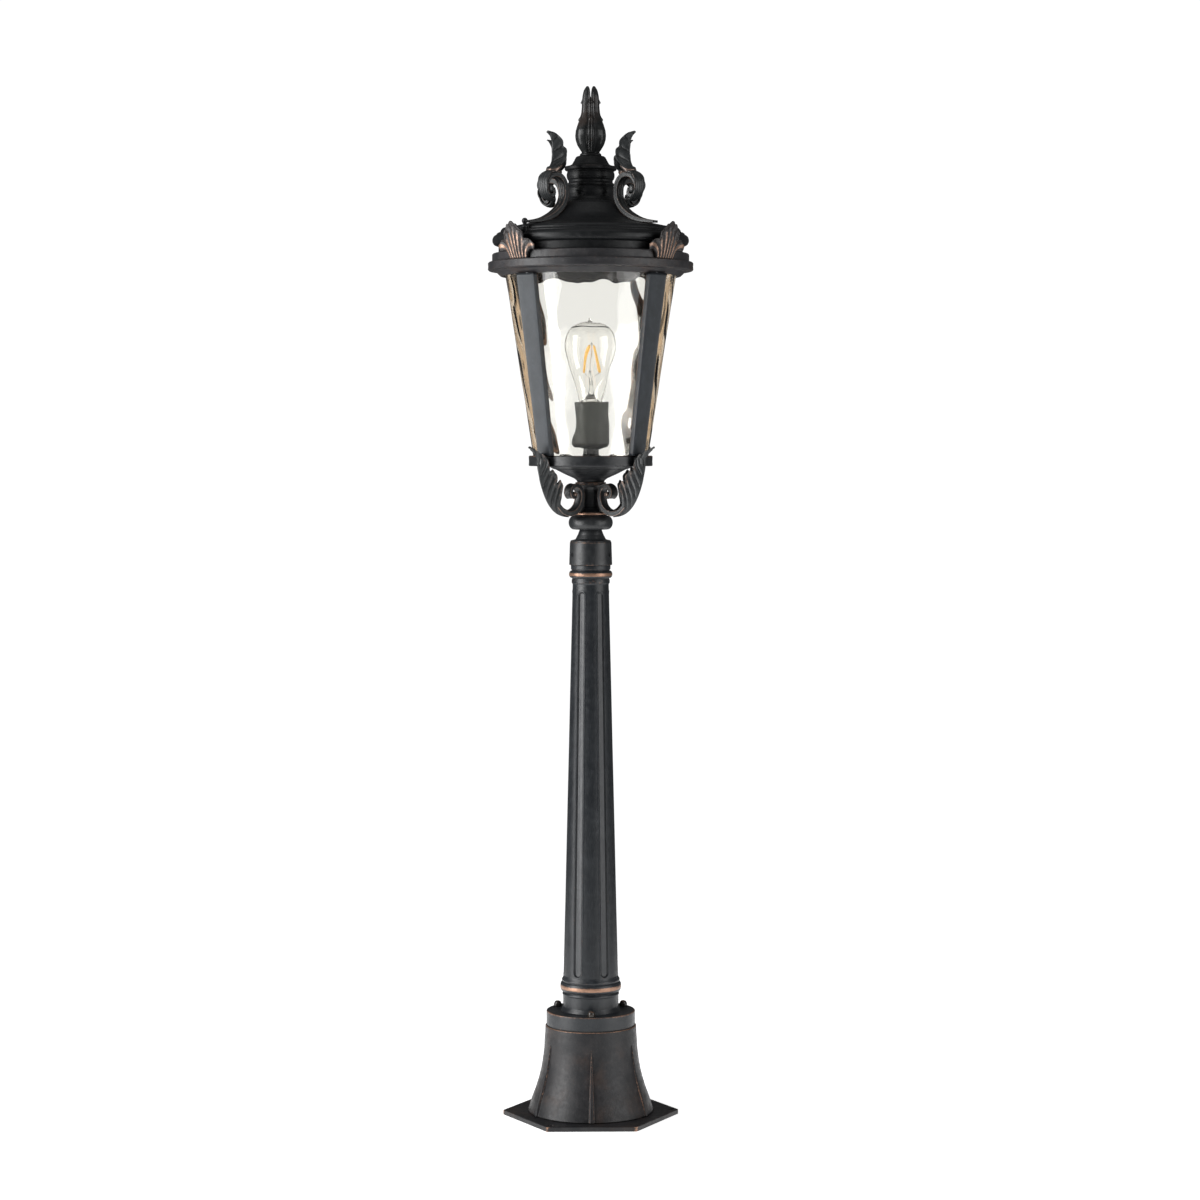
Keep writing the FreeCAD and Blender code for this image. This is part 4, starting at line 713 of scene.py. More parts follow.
def flutes(TH, RR, ZZ, WW):
    phi = (TH + pi / 6) % (pi / 3) - pi / 6
    shaft = (ZZ > 171.5) & (ZZ < 651.0) & (RR > 21.0)
    base = RR.copy()
    across = base * phi
    half = 5.1 - (ZZ - 175) / 470 * 0.9
    z0, z1 = 173.9 + 5.2, 643.5 - 5.2
    dz = np.where(ZZ < z0, ZZ - z0, np.where(ZZ > z1, ZZ - z1, 0.0))
    d = np.sqrt(across ** 2 + dz ** 2) - half
    dep = -1.55 * smoothstep(0.15, -1.15, d) - 0.25 * smoothstep(-1.2, -4.5, d)
    bead = 0.55 * np.exp(-((d - 0.85) / 0.62) ** 2)
    new = np.where(shaft, base + dep + bead, base)
    w = np.where(shaft, 0.30 * np.exp(-((d - 0.85) / 0.5) ** 2), 0)
    # painted shade on the inner wall of each flute (0.62); the lands away from the flutes are also darkened a little
    # (0.22)
    h = np.where(shaft, 0.62 * np.exp(-((d + 0.75) / 0.55) ** 2) + 0.22 * smoothstep(1.5, 3.2, d), 0)
    return new, ZZ, np.maximum(WW, w), h


def column():
    low = [(50.0, 112.6, 0.0, 0), (54.2, 112.6, 0.35, 0.7), (54.2, 129.5, 0.62, 1.0), (36.4, 129.5, 0.0, 0.8), (33.8, 134.5, 0.0, 1.5), (33.5, 147.0, 0.3, 0.8)]
    # bead, copper torus and rings above the neck
    low = rounded(low, 0.8, closed=False)[:-1]
    low = [p for p in low]
    fill = []
    for a, b in zip(low, low[1:]):
        fill.append(a)
        L = math.hypot(b[0] - a[0], b[1] - a[1])
        for k in range(1, int(L / 3.0) + 1):
            t = k / (int(L / 3.0) + 1)
            fill.append((a[0] + (b[0] - a[0]) * t, a[1] + (b[1] - a[1]) * t, 0.0))
    low = fill + [low[-1]]
    bead = [(34.0 + 0.75 * sin(pi * t), 148.2 + 3.8 * t, 0.12 * sin(pi * t)) for t in np.linspace(0.0, 1, 9)]
    gap = [(33.3, 152.4, 0.0), (33.4, 153.2, 0.0)]
    torus = [(34.6 + 2.65 * math.sqrt(max(0, 1 - (2 * t - 1) ** 2)), 153.6 + 11.7 * t, 0.95 * smoothstep(0.20, 0.38, t) * (1 - smoothstep(0.60, 0.80, t))) for t in
             0.5 - 0.5 * np.cos(np.linspace(0.03, 0.97, 19) * pi)]
    rings = [(34.6, 165.7, 0.0), (35.2, 166.2, 0.2), (35.4, 167.2, 0.25), (35.3, 168.4, 0.1), (34.6, 169.2, 0.0), (34.0, 170.6, 0.05), (33.6, 171.5, 0.0), (33.3, 172.3, 0.0)]
    zz = np.concatenate([np.linspace(173.0, 186, 18), np.linspace(188.5, 630, 130), np.linspace(632, 646, 20), [648.5, 651.4]])
    shaft = [(33.2 - _sl * (z - 175.8), z, 0.0) for z in zz]
    top = [(22.3, 652.3, 0.0), (22.9, 652.9, 0.3), (23.15, 653.6, 0.35), (23.15, 656.8, 0.3), (22.9, 657.4, 0.2), (22.5, 658.2, 0.0), (22.7, 659.0, 0.0)]
    top += [(22.9 + 3.5 * math.sqrt(max(0, 1 - (2 * t - 1) ** 2)), 659.2 + 9.1 * t, 0.95 * smoothstep(0.18, 0.36, t) * (1 - smoothstep(0.62, 0.82, t))) for t in
            0.5 - 0.5 * np.cos(np.linspace(0.03, 0.97, 17) * pi)]
    top += [(22.8, 668.7, 0.0), (23.4, 669.3, 0.1), (24.0, 669.9, 0.4), (24.1, 671.0, 0.2), (24.1, 674.2, 0.1), (23.8, 674.9, 0.0), (19.6, 675.0, 0.0),
            (19.6, 700.0, 0.0), (15.0, 700.0, 0.0), (15.0, 640.0, 0.0), (28.0, 172.0, 0.0), (28.0, 123.5, 0.0), (50.0, 123.5, 0.0)]
    prof = low + bead + gap + torus + rings + shaft + top
    return lathe(prof, 6 * 60, True, flutes)


mesh_obj("post_shaft", column(), "shaft", "column")

# domed nuts on the flange
_g = Geo()
for _az in (30, 150, 270):
    cx, cy = 46.6 * cos(math.radians(_az)), 46.6 * sin(math.radians(_az))
    prof = [(0.0, 129.5), (4.7, 129.5), (4.95, 129.9), (4.95, 132.6), (4.6, 133.1), (4.3, 133.3), (4.2, 134.0), (3.8, 135.0), (3.0, 135.8), (1.6, 136.3), (0.0, 136.4)]

    def hexed(TH, RR, ZZ, WW):
        f = cos(pi / 6) / np.cos((TH % (pi / 3)) - pi / 6)
        R2 = np.where(ZZ < 132.9, RR * (0.35 + 0.65 * f), RR)
        return R2, ZZ, WW + 0.55 * smoothstep(133.5, 136.5, ZZ) + 0.3 * (np.abs(ZZ - 132.6) < 0.5), WW * 0
    _g.join(lathe([(r, z, 0.0) for r, z in prof], 36, False, hexed, centre=(cx, cy)))
mesh_obj("flange_nuts", _g, "nut", "flange_cap_nuts")
NODES["flange_gasket"].data.materials[0] = M["black_rubber"]
NODES["grub_screws"].data.materials[0] = M["dark_steel"]

# ------------------------------------------------------------------ lantern foot
fit = rounded([(20.0, 675.0, 0, 0), (26.1, 675.0, 0.45, 0.7), (26.1, 676.8, 0.2, 0.5), (25.3, 702.2, 0.5, 1.0), (24.2, 704.9, 0.3, 0.6), (18.6, 706.2, 0.0, 2.0), (15.6, 712.0, 0.0, 3.0),
               (13.4, 718.0, 0.1, 0.4), (6.7, 718.0, 0, 0), (6.7, 700.4, 0, 0), (20.0, 700.4, 0, 0)], 0.8, step=3.0)
_col = mesh_obj("post_collar", lathe(fit, 128), "antique_casting", "post_fitter")
# grub screw holes in the collar
_cut = Geo()
for _az in (90, 210, 330):
    a = math.radians(_az)
    ring = [(r * 1.0, t) for r, t in ((2.6, 0),)]
    vs, fs = [], []
    for k in range(24):
        ph = 2 * pi * k / 24
        for d in (22.0, 30.0):
            x, y, z = d, 2.6 * cos(ph), 688 + 2.6 * sin(ph)
            vs.append((x * cos(a) - y * sin(a), x * sin(a) + y * cos(a), z))
    for k in range(24):
        k2 = (k + 1) % 24
        fs.append([2 * k, 2 * k2, 2 * k2 + 1, 2 * k + 1])
    fs.append([2 * k for k in range(24)][::-1])
    fs.append([2 * k + 1 for k in range(24)])
    _cut.add(vs, fs)
_me = bpy.data.meshes.new("grub_cut")
_me.from_pydata((np.array(_cut.v) * 0.001).tolist(), [], _cut.f)
_bm = bmesh.new()
_bm.from_mesh(_me)
bmesh.ops.recalc_face_normals(_bm, faces=_bm.faces)
_bm.to_mesh(_me)
_bm.free()
_cutter = bpy.data.objects.new("grub_cut", _me)
bpy.context.scene.collection.objects.link(_cutter)
_bo = _col.modifiers.new("holes", "BOOLEAN")
_bo.operation = "DIFFERENCE"
_bo.solver = "EXACT"
_bo.object = _cutter
_dg = bpy.context.evaluated_depsgraph_get()
_new = bpy.data.meshes.new_from_object(_col.evaluated_get(_dg))
_col.modifiers.clear()
if len(_new.polygons) > 500:
    _col.data = _new
bpy.data.objects.remove(_cutter)
_w = _col.modifiers.new("weighted", "WEIGHTED_NORMAL")
_w.keep_sharp = True

bead = [(6.7, 718.0, 0.0), (13.0, 718.0, 0.0), (20.5, 718.2, 0.0)]
bead += [(20.3 + 6.55 * cos(t), 726.5 + 8.35 * sin(t), 0.10 + 0.12 * max(0, sin(t))) for t in np.linspace(-pi / 2 * 0.97, pi / 2 * 0.97, 25)]
bead += [(20.0, 734.9, 0.0), (19.4, 735.4, 0.0), (20.4, 735.8, 0.2), (20.9, 736.5, 0.75), (20.9, 737.6, 0.8), (20.9, 738.6, 0.5), (20.5, 739.3, 0.3), (19.6, 739.5, 0.1), (6.7, 739.5, 0.0)]
mesh_obj("stem_bead_turned", lathe(bead, 128), "antique_casting", "stem_bead")
spool = [(6.7, 739.5, 0, 0), (17.2, 739.5, 0.3, 0.3), (15.4, 740.6, 0, 1), (13.2, 742.8, 0, 2), (11.4, 746.0, 0, 3), (10.95, 749.0, 0, 4), (10.95, 763.0, 0, 4), (11.8, 767.0, 0, 3), (13.6, 769.8, 0, 2),
         (16.0, 771.6, 0, 1), (18.4, 772.3, 0.5, 0.5), (18.6, 775.5, 0.55, 0.6), (6.7, 775.7, 0, 0)]
mesh_obj("stem_spool_turned", lathe(rounded(spool, 1.0, step=2.5), 96), "antique_casting", "stem_spool")
bowl = [(6.7, 775.7, 0, 0), (16.4, 775.7, 0.3, 0.5), (17.2, 777.8, 0.0, 1), (20.3, 780.2, 0.25, 0.8), (31.5, 785.2, 0, 8), (42.4, 790.8, 0.2, 1.0), (46.5, 792.0, 0, 2), (50.5, 794.6, 0.4, 0.8), (61.4, 794.9, 0, 0), (61.4, 801.0, 0, 0),
        (54.0, 801.0, 0, 0), (54.0, 798.6, 0, 0), (40.0, 797.0, 0, 0), (20.0, 786.4, 0, 0), (6.7, 786.4, 0, 0)]
mesh_obj("lantern_bowl", lathe(rounded(bowl, 1.0, step=3.0), 128), "antique_casting", "bottom_bowl")
ring = [(62.0, 795.1, 0, 0), (64.0, 795.1, 0, 0.3), (74.4, 795.1, 0, 0.4), (75.25, 796.0, 0.25, 0.5), (74.9, 800.5, 0.0, 1.5), (75.25, 806.6, 0.55, 0.6), (74.4, 807.7, 0.7, 0.5), (71.6, 807.7, 0.6, 0.5), (70.9, 807.2, 0, 0),
        (70.9, 803.0, 0, 0), (64.0, 803.0, 0, 0), (64.0, 801.2, 0, 0), (62.0, 801.2, 0, 0)]
mesh_obj("lower_ring_turned", lathe(rounded(ring, 0.6, step=3.0), 192), "antique_casting", "lower_ring")

# ------------------------------------------------------------------ cage
tr = [(104.9, 1024.0, 0, 0), (108.9, 1024.0, 0.2, 0.6), (111.6, 1026.4, 0, 2), (114.5, 1029.4, 0.1, 0.6), (116.2, 1030.0, 0, 0.5), (123.0, 1030.5, 0.1, 0.5), (124.2, 1031.7, 0.2, 0.8), (123.9, 1035.5, 0, 3), (124.2, 1039.5, 0.28, 1.2),
      (123.0, 1040.7, 0.30, 0.9), (120.0, 1040.7, 0, 0.5), (119.1, 1041.4, 0, 0.5), (119.1, 1049.8, 0.1, 0.9), (118.2, 1050.8, 0.1, 0.5), (97.0, 1050.8, 0.2, 0.6), (97.0, 1028.4, 0, 0.5), (104.9, 1028.4, 0, 0)]
mesh_obj("top_ring_turned", lathe(rounded(tr, 0.8, step=3.5), 256), "ring", "cage_top_ring")


def rib():
    """One rib: a flat bar, wider at its top, with a shallow panel between two edge beads."""
    zb, zt = 807.7, 1024.0
    nz = 60
    sec = []
    # across (as a share of half width), depth from the outer face, wear
    left = [(-1.0, 6.5, 0.85), (-1.0, 5.6, 0.1), (-1.0, 1.3, 0.0), (-0.985, 0.5, 0.14), (-0.95, 0.08, 0.20), (-0.905, 0.0, 0.08), (-0.86, 0.16, 0.0), (-0.80, 0.34, 0.0), (-0.4, 0.36, 0.0), (0.0, 0.36, 0.0)]
    right = [(-a, d, w) for a, d, w in reversed(left[:-1])]
    sec = left + right
    inner = [(0.93, 6.9, 0.9), (0.0, 6.9, 0.0), (-0.93, 6.9, 0.9)]
    sec = sec + inner
    k = len(sec)
    V, W = [], []
    for i in range(nz + 1):
        t = i / nz
        z = zb + (zt - zb) * t
        ro = 80.2 + (112.3 - 80.2) * t
        hw = (21.5 + (29.5 - 21.5) * t) / 2
        for a, d, w in sec:
            V.append((ro - d * (9.5 / 9.3), a * hw, z))
            W.append(w)
    faces = []
    for i in range(nz):
        for j in range(k):
            j2 = (j + 1) % k
            faces.append([i * k + j, (i + 1) * k + j, (i + 1) * k + j2, i * k + j2])
    faces.append(list(range(k)))
    faces.append([nz * k + j for j in reversed(range(k))])
    return Geo().add(V, faces, W)


for _n, _a in QUARTERS:
    mesh_obj("rib_bar_" + _n, rib(), "rib", "cage_rib_" + _n, az=_a)


def palmette():
    """A fan of rounded ridges on a curved plate, with a pointed crown and drooping side lobes."""
    R0, z0, lean = 124.0, 1040.7, 11.5
    fl = 7
    na, nv = fl * 12 + 1, 40
    a = np.linspace(-1, 1, na)[:, None] * np.ones((1, nv))
    v = np.ones((na, 1)) * np.linspace(0, 1, nv)[None, :]
    A = np.abs(a)
    idx = (a + 1) / 2 * fl
    # ends and middle control points of the ribs
    ka = [0.0, 0.22, 0.44, 0.56, 0.70, 0.86, 1.0]
    ex = np.interp(A, ka, [0.0, 6.2, 12.0, 16.0, 24.5, 28.6, 28.0])
    ez = np.interp(A, ka, [43.0, 39.6, 33.6, 28.4, 20.2, 15.0, 8.4])
    mx = np.interp(A, ka, [0.0, 3.2, 8.2, 10.0, 12.2, 15.2, 16.6])
    mz = np.interp(A, ka, [22.0, 24.0, 22.0, 20.0, 19.5, 18.0, 13.0])
    bx = 14.6 * A
    fine = np.abs(np.cos(pi * idx)) ** 6
    gap = np.exp(-((A - 0.60) / 0.055) ** 2)
    gap2 = np.exp(-((A - 0.33) / 0.05) ** 2)
    vm = v * (1 - 0.03 * fine - 0.24 * gap - 0.03 * gap2)
    x = (1 - vm) ** 2 * bx + 2 * (1 - vm) * vm * mx + vm ** 2 * ex
    z = 2 * (1 - vm) * vm * mz + vm ** 2 * ez
    x = np.sign(a) * x
    rid = np.abs(np.sin(pi * idx)) ** 0.55
    rad = R0 - 1.0 + lean * z / 46.0
    crown = 2.2 * smoothstep(0.80, 1.0, v) * (1 - smoothstep(0.5, 0.9, A))
    droop = 3.0 * smoothstep(0.45, 1.0, v) * smoothstep(0.55, 0.95, A)
    body = 1.6 * np.sin(pi * np.clip(v * 0.85 + 0.1, 0, 1)) * (1 - A ** 2)
    rad = rad + crown + droop + body + 1.25 * (rid - 0.6) * smoothstep(-0.05, 0.12, v) * (1 - 0.55 * smoothstep(0.85, 1.0, v))
    th = x / 124.0
    front = np.stack([rad * np.cos(th), rad * np.sin(th), z0 + z], -1)
    tk = 3.0 - 1.2 * smoothstep(0.6, 1.0, v)
    rb = R0 - 1.0 + lean * z / 46.0 + crown + droop + body * 0.4 - tk
    back = np.stack([rb * np.cos(th), rb * np.sin(th), z0 + z], -1)
    w = 0.92 * smoothstep(0.72, 0.98, rid) * (1 - 0.75 * smoothstep(0.60, 0.95, v) * (A < 0.62)) * (0.9 + 0.1 * A)
    # painted shade: the grooves between the ridges are darkened, and the back of the plate (0.3) as well
    h = (1 - smoothstep(0.05, 0.66, rid))
    return shell(front, back, w, None, h, np.full(h.shape, 0.3))


for _n, _a in QUARTERS:
    mesh_obj("palmette_leaf_" + _n, palmette(), "rubbed", "palmette_" + _n, az=_a)

LOWER_C = [(60.0, 747.5), (52.0, 740.6), (41.0, 737.8), (30.0, 740.2), (22.2, 747.0), (18.9, 757.0),
           (20.6, 766.6), (27.6, 771.6), (35.4, 769.4), (38.6, 762.6), (35.0, 757.4), (30.2, 758.6)]
LOWER_LEAF = [(38.0, 733.4, 0.10, -1.0, 6.2, 3.0), (50.0, 735.0, 0.28, -1.0, 9.6, 13.0), (61.5, 739.4, 0.58, -0.8, 11.4, 19.6), (72.0, 748.4, 0.80, -0.6, 12.2, 22.6),
              (80.0, 760.5, 0.90, -0.4, 12.4, 23.2), (86.0, 774.5, 0.97, -0.22, 12.0, 21.6), (89.4, 788.0, 1.0, -0.04, 11.0, 15.6), (90.2, 797.0, 1.0, 0.06, 9.6, 10.6),
              (91.2, 804.0, 0.94, -0.34, 7.6, 7.0), (96.4, 811.0, 0.74, -0.67, 5.0, 3.2), (105.6, 818.0, 0.62, -0.75, 0.9, 0.2)]


def lower_bracket():
    sec, w, h = strap_section(6.0, 6.0)
    g = sweep(LOWER_C, sec, w, h, lambda u: (1.0, 0.85 + 0.15 * min(1, u / 0.2) if u < 0.5 else 1.0 - 0.42 * (u - 0.5) / 0.5))
    # the eye of the scroll
    eye = [(0.0, -5.6, 0.6), (2.2, -5.4, 0.9), (3.0, -4.6, 1.0), (3.1, 0.0, 0.2), (3.0, 4.6, 1.0), (2.2, 5.4, 0.9), (0.0, 5.6, 0.6)]
    e = lathe(eye, 24, False)
    ev = np.array(e.v)
    ev = np.stack([ev[:, 0] + 30.4, ev[:, 2], ev[:, 1] + 760.6], 1)
    e.v = ev.tolist()
    g.join(e)
    g.join(acanthus(LOWER_LEAF, flutes=8, delta=0.44, amp=2.0, thick=2.6, curl=1.6, notch=(0.01, 0.22), wear=0.62))
    g.join(box_geo((75.3, -4.5, 797.2), (89.0, 4.5, 805.7), 0.8, 0.2))
    g.join(box_geo((17.3, -3.5, 739.6), (23.4, 3.5, 745.0), 0.8, 0.3))
    return g


for _n, _a in QUARTERS:
    mesh_obj("lower_bracket_" + _n, lower_bracket(), "leaf", "lower_leaf_" + _n, az=_a, weighted=False)

# ------------------------------------------------------------------ roof
can = [(105.0, 1050.8, 0, 0), (110.6, 1050.8, 0.2, 0.5), (111.3, 1051.6, 0, 1.5), (111.3, 1060.2, 0, 1.0), (112.6, 1061.2, 0, 0.4)]
tor = [(114.6 + 4.2 * math.sqrt(max(0, 1 - (2 * t - 1) ** 2)), 1061.2 + 11.6 * t, 0.18 * smoothstep(0.2, 0.5, t)) for t in 0.5 - 0.5 * np.cos(np.linspace(0.03, 0.97, 17) * pi)]
up = [(113.9, 1073.2, 0, 0), (113.7, 1074.8, 0.3, 0.4), (112.6, 1075.5, 0.3, 0.4), (110.2, 1075.8, 0, 0.5), (109.4, 1076.4, 0, 0.6), (108.8, 1078.6, 0.2, 0.8), (107.2, 1081.0, 0.35, 0.8), (97.0, 1082.6, 0, 3), (87.0, 1084.8, 0, 6), (80.0, 1086.3, 0, 6),
      (72.5, 1088.5, 0, 6), (64.0, 1092.1, 0, 8), (56.2, 1096.9, 0, 8), (49.8, 1102.4, 0, 8), (44.5, 1107.2, 0, 8), (40.2, 1111.2, 0, 4), (37.6, 1112.4, 0.1, 0.6), (36.4, 1113.5, 0.2, 0.5),
      (24.0, 1113.5, 0, 0), (24.0, 1110.0, 0, 0), (36.4, 1109.4, 0, 0), (52.6, 1094.0, 0, 0), (70.6, 1084.6, 0, 0), (97.0, 1078.4, 0, 0), (103.0, 1076.0, 0, 0), (105.0, 1066.0, 0, 0)]
_prof = rounded(can, 0.7, closed=False) + tor + rounded(up, 0.7, closed=False)
_fine = []
for _i, _p in enumerate(_prof):
    _q = _prof[(_i + 1) % len(_prof)]
    _fine.append(_p)
    _L = math.hypot(_q[0] - _p[0], _q[1] - _p[1])
    for _k in range(1, int(_L / 4.0) + 1):
        _t = _k / (int(_L / 4.0) + 1)
        _fine.append((_p[0] + (_q[0] - _p[0]) * _t, _p[1] + (_q[1] - _p[1]) * _t, 0.0))
_roof = lathe(_fine, 256)
LX, LY = 114.4 * cos(math.radians(226.4)), 114.4 * sin(math.radians(226.4))
_roof.join(lathe([(0.0, 1068.0, 0), (4.3, 1068.0, 0), (4.3, 1075.2, 0.2), (4.0, 1075.9, 0.5), (3.5, 1076.2, 0.3), (2.45, 1076.2, 0), (2.45, 1067.9, 0.0)], 36, False, centre=(LX, LY)))
mesh_obj("roof_ogee", _roof, "roof", "roof_canopy")

drum = [(24.0, 1113.5, 0, 0), (33.0, 1113.5, 0.35, 0.5), (32.6, 1114.6, 0.2, 0.5), (30.2, 1115.4, 0, 0.8), (29.4, 1117.2, 0, 1), (28.0, 1119.0, 0, 0.6), (28.5, 1120.6, 0.1, 0.6), (29.3, 1123.2, 0, 1.5), (29.5, 1126.0, 0, 2), (29.2, 1128.6, 0, 1.5), (28.4, 1130.8, 0.1, 0.5),
        (27.0, 1132.2, 0, 0.5), (28.5, 1133.0, 0.25, 0.4), (28.6, 1135.0, 0.25, 0.4), (26.6, 1136.9, 0, 0.7), (26.8, 1139.2, 0, 0.6), (28.0, 1140.6, 0.1, 0.6), (28.9, 1143.2, 0, 1.5), (29.0, 1146.0, 0, 2), (28.6, 1148.4, 0, 1.5), (27.8, 1150.2, 0, 0.5),
        (30.6, 1151.3, 0.3, 0.4), (31.4, 1152.3, 0.5, 0.4), (31.4, 1155.2, 0.5, 0.5), (30.4, 1156.0, 0.3, 0.4), (24.0, 1156.0, 0, 0)]
mesh_obj("roof_drum_turned", lathe(rounded(drum, 0.6, step=2.5), 128), "roof", "roof_drum")
cap = [(3.2, 1156.0, 0, 0), (26.0, 1156.0, 0.35, 0.4), (25.4, 1157.2, 0.25, 0.5), (22.6, 1158.6, 0.1, 0.8), (20.4, 1162.4, 0, 4), (17.8, 1167.2, 0.25, 0.6), (16.4, 1168.2, 0.1, 0.5), (13.2, 1168.9, 0.0, 0.5), (12.9, 1170.6, 0.3, 0.4), (12.4, 1171.5, 0.3, 0.4), (3.2, 1171.5, 0, 0)]
mesh_obj("roof_cap_turned", lathe(rounded(cap, 0.6, step=2.5), 96), "roof", "roof_cap")

UPPER_S = [(107.2, 1084.6), (98.0, 1085.6), (88.0, 1087.0), (76.6, 1090.0), (64.0, 1095.8), (53.4, 1104.4), (47.8, 1113.4),
           (46.2, 1122.6), (47.6, 1131.6), (52.4, 1138.8), (60.6, 1142.6), (70.0, 1141.2), (77.0, 1135.0), (79.6, 1126.6),
           (77.4, 1119.4), (71.8, 1116.8), (67.0, 1120.0), (68.6, 1126.0)]
UPPER_LEAF = [(73.0, 1144.0, 0.75, 0.66, 6.0, 3.0), (69.4, 1152.0, 0.94, 0.26, 8.0, 9.0), (66.6, 1159.0, 1.0, 0.1, 9.6, 12.6), (65.4, 1166.0, 1.0, 0.0, 10.2, 14.0),
              (65.2, 1173.0, 1.0, -0.08, 10.0, 13.4), (65.6, 1180.0, 1.0, -0.2, 8.8, 10.4), (67.8, 1186.0, 0.88, -0.45, 6.6, 6.4), (70.8, 1190.4, 0.66, -0.75, 4.4, 2.8), (73.6, 1192.4, 0.4, -0.9, 1.8, 0.5)]
SHEATH = [(60.0, 1146.6), (68.0, 1147.8), (76.0, 1145.4), (82.0, 1138.6), (84.0, 1130.0), (82.0, 1121.2), (76.4, 1113.8), (68.6, 1110.8), (63.2, 1113.6), (62.4, 1119.0)]
_OG = [(120.0, 1081.0), (107.2, 1081.0), (97.0, 1082.6), (87.0, 1084.8), (80.0, 1086.2), (72.5, 1088.5), (64.0, 1092.2), (56.2, 1096.9), (44.5, 1107.5), (38.5, 1112.5), (24.0, 1113.5)]


def upper_bracket():
    sec, w, h = strap_section(6.25, 6.4, mid=0.55)
    g = sweep(UPPER_S, sec, w, h, lambda u: (0.62 + 0.38 * min(1, u / 0.22), (0.42 + 0.58 * min(1.0, u / 0.25)) if u < 0.5 else 1.0 - 0.34 * (u - 0.5) / 0.5))
    # the foot sits on the roof, so nothing of it goes under the ogee
    V = np.array(g.v)
    rr = np.hypot(V[:, 0], V[:, 1])
    ox, oz = [p[0] for p in _OG][::-1], [p[1] for p in _OG][::-1]
    floor_z = np.interp(rr, ox, oz) + 0.05
    low = V[:, 2] < floor_z
    V[low, 2] = floor_z[low]
    g.v = V.tolist()
    # eye
    eye = [(0.0, -7.0, 0.1), (2.8, -6.7, 0.2), (4.4, -5.6, 0.4), (4.9, -4.0, 0.1), (4.9, 4.0, 0.1), (4.4, 5.6, 0.4), (2.8, 6.7, 0.2), (0.0, 7.0, 0.1)]
    e = lathe(eye, 32, False)
    ev = np.array(e.v)
    e.v = np.stack([ev[:, 0] + 72.2, ev[:, 2], ev[:, 1] + 1125.4], 1).tolist()
    g.join(e)
    # the sheath leaf that wraps the outside of the curl
    P = by_length(spline([(a, b) for a, b in SHEATH], 14), 90)
    T = np.gradient(P, axis=0)
    T /= np.linalg.norm(T, axis=1, keepdims=True)
    N = np.stack([-T[:, 1], T[:, 0]], 1)
    nt = 49
    t = np.linspace(-1, 1, nt)
    u = np.linspace(0, 1, 90)
    hw = np.interp(u, [0, 0.12, 0.3, 0.5, 0.68, 0.84, 1.0], [5.5, 8.2, 9.2, 9.4, 8.0, 6.6, 3.0])
    U, Tt = np.meshgrid(u, t, indexing="ij")
    HW = hw[:, None] * np.ones((1, nt))
    scal = 1 - 0.10 * np.abs(np.cos(U * 5.0 * pi)) ** 4 * (U < 0.9)
    Y = Tt * HW * scal
    rid = np.abs(np.sin(Tt * 2.5 * pi + pi / 2)) ** 0.6
    off = -1.6 * np.abs(Tt) ** 2.2 + 0.8 * (rid - 0.6) * (1 - 0.5 * np.abs(Tt))
    front = np.stack([P[:, 0:1] + N[:, 0:1] * off, Y, P[:, 1:2] + N[:, 1:2] * off], -1)
    back = np.stack([P[:, 0:1] + N[:, 0:1] * (off - 2.0), Y * 0.97, P[:, 1:2] + N[:, 1:2] * (off - 2.0)], -1)
    wf = 0.22 * smoothstep(0.80, 1, rid) + 0.55 * smoothstep(0.90, 1.0, np.abs(Tt))
    # painted shade in the grooves between the sheath leaf's ridges
    shade_front = 1 - smoothstep(0.1, 0.6, rid)
    g.join(shell(front, back, wf, None, shade_front, None))
    # calyx: a drooping band where the upright leaf leaves the curl
    nk, nc = 40, 15
    ph = np.linspace(0, 2 * pi, nk, endpoint=False)
    cv, cw = [], []
    for j in range(nc):
        t = j / (nc - 1)
        for q in ph:
            rx, ry = 9.4 + 0.9 * sin(pi * t), 8.4 + 1.1 * sin(pi * t)
            droop = 2.4 * cos(3 * q) * (1 - t)
            cv.append((62.4 + rx * cos(q), ry * sin(q), 1147.6 + 5.6 * t + 0.34 * (-rx * cos(q)) + droop * 0.8))
            cw.append(0.85 * sin(pi * min(1.0, 0.15 + t * 0.9)))
    cf = [[j * nk + i, j * nk + (i + 1) % nk, (j + 1) * nk + (i + 1) % nk, (j + 1) * nk + i] for j in range(nc - 1) for i in range(nk)]
    cf.append(list(range(nk))[::-1])
    cf.append([(nc - 1) * nk + i for i in range(nk)])
    g.join(Geo().add(cv, cf, cw))
    g.join(acanthus(UPPER_LEAF, flutes=4, delta=0.26, amp=1.8, thick=3.2, curl=1.8, notch=(0.0, 0.15), wear=0.42))
    return g


for _n, _a in QUARTERS:
    mesh_obj("upper_bracket_" + _n, upper_bracket(), "leaf", "upper_scroll_" + _n, az=_a, weighted=False)


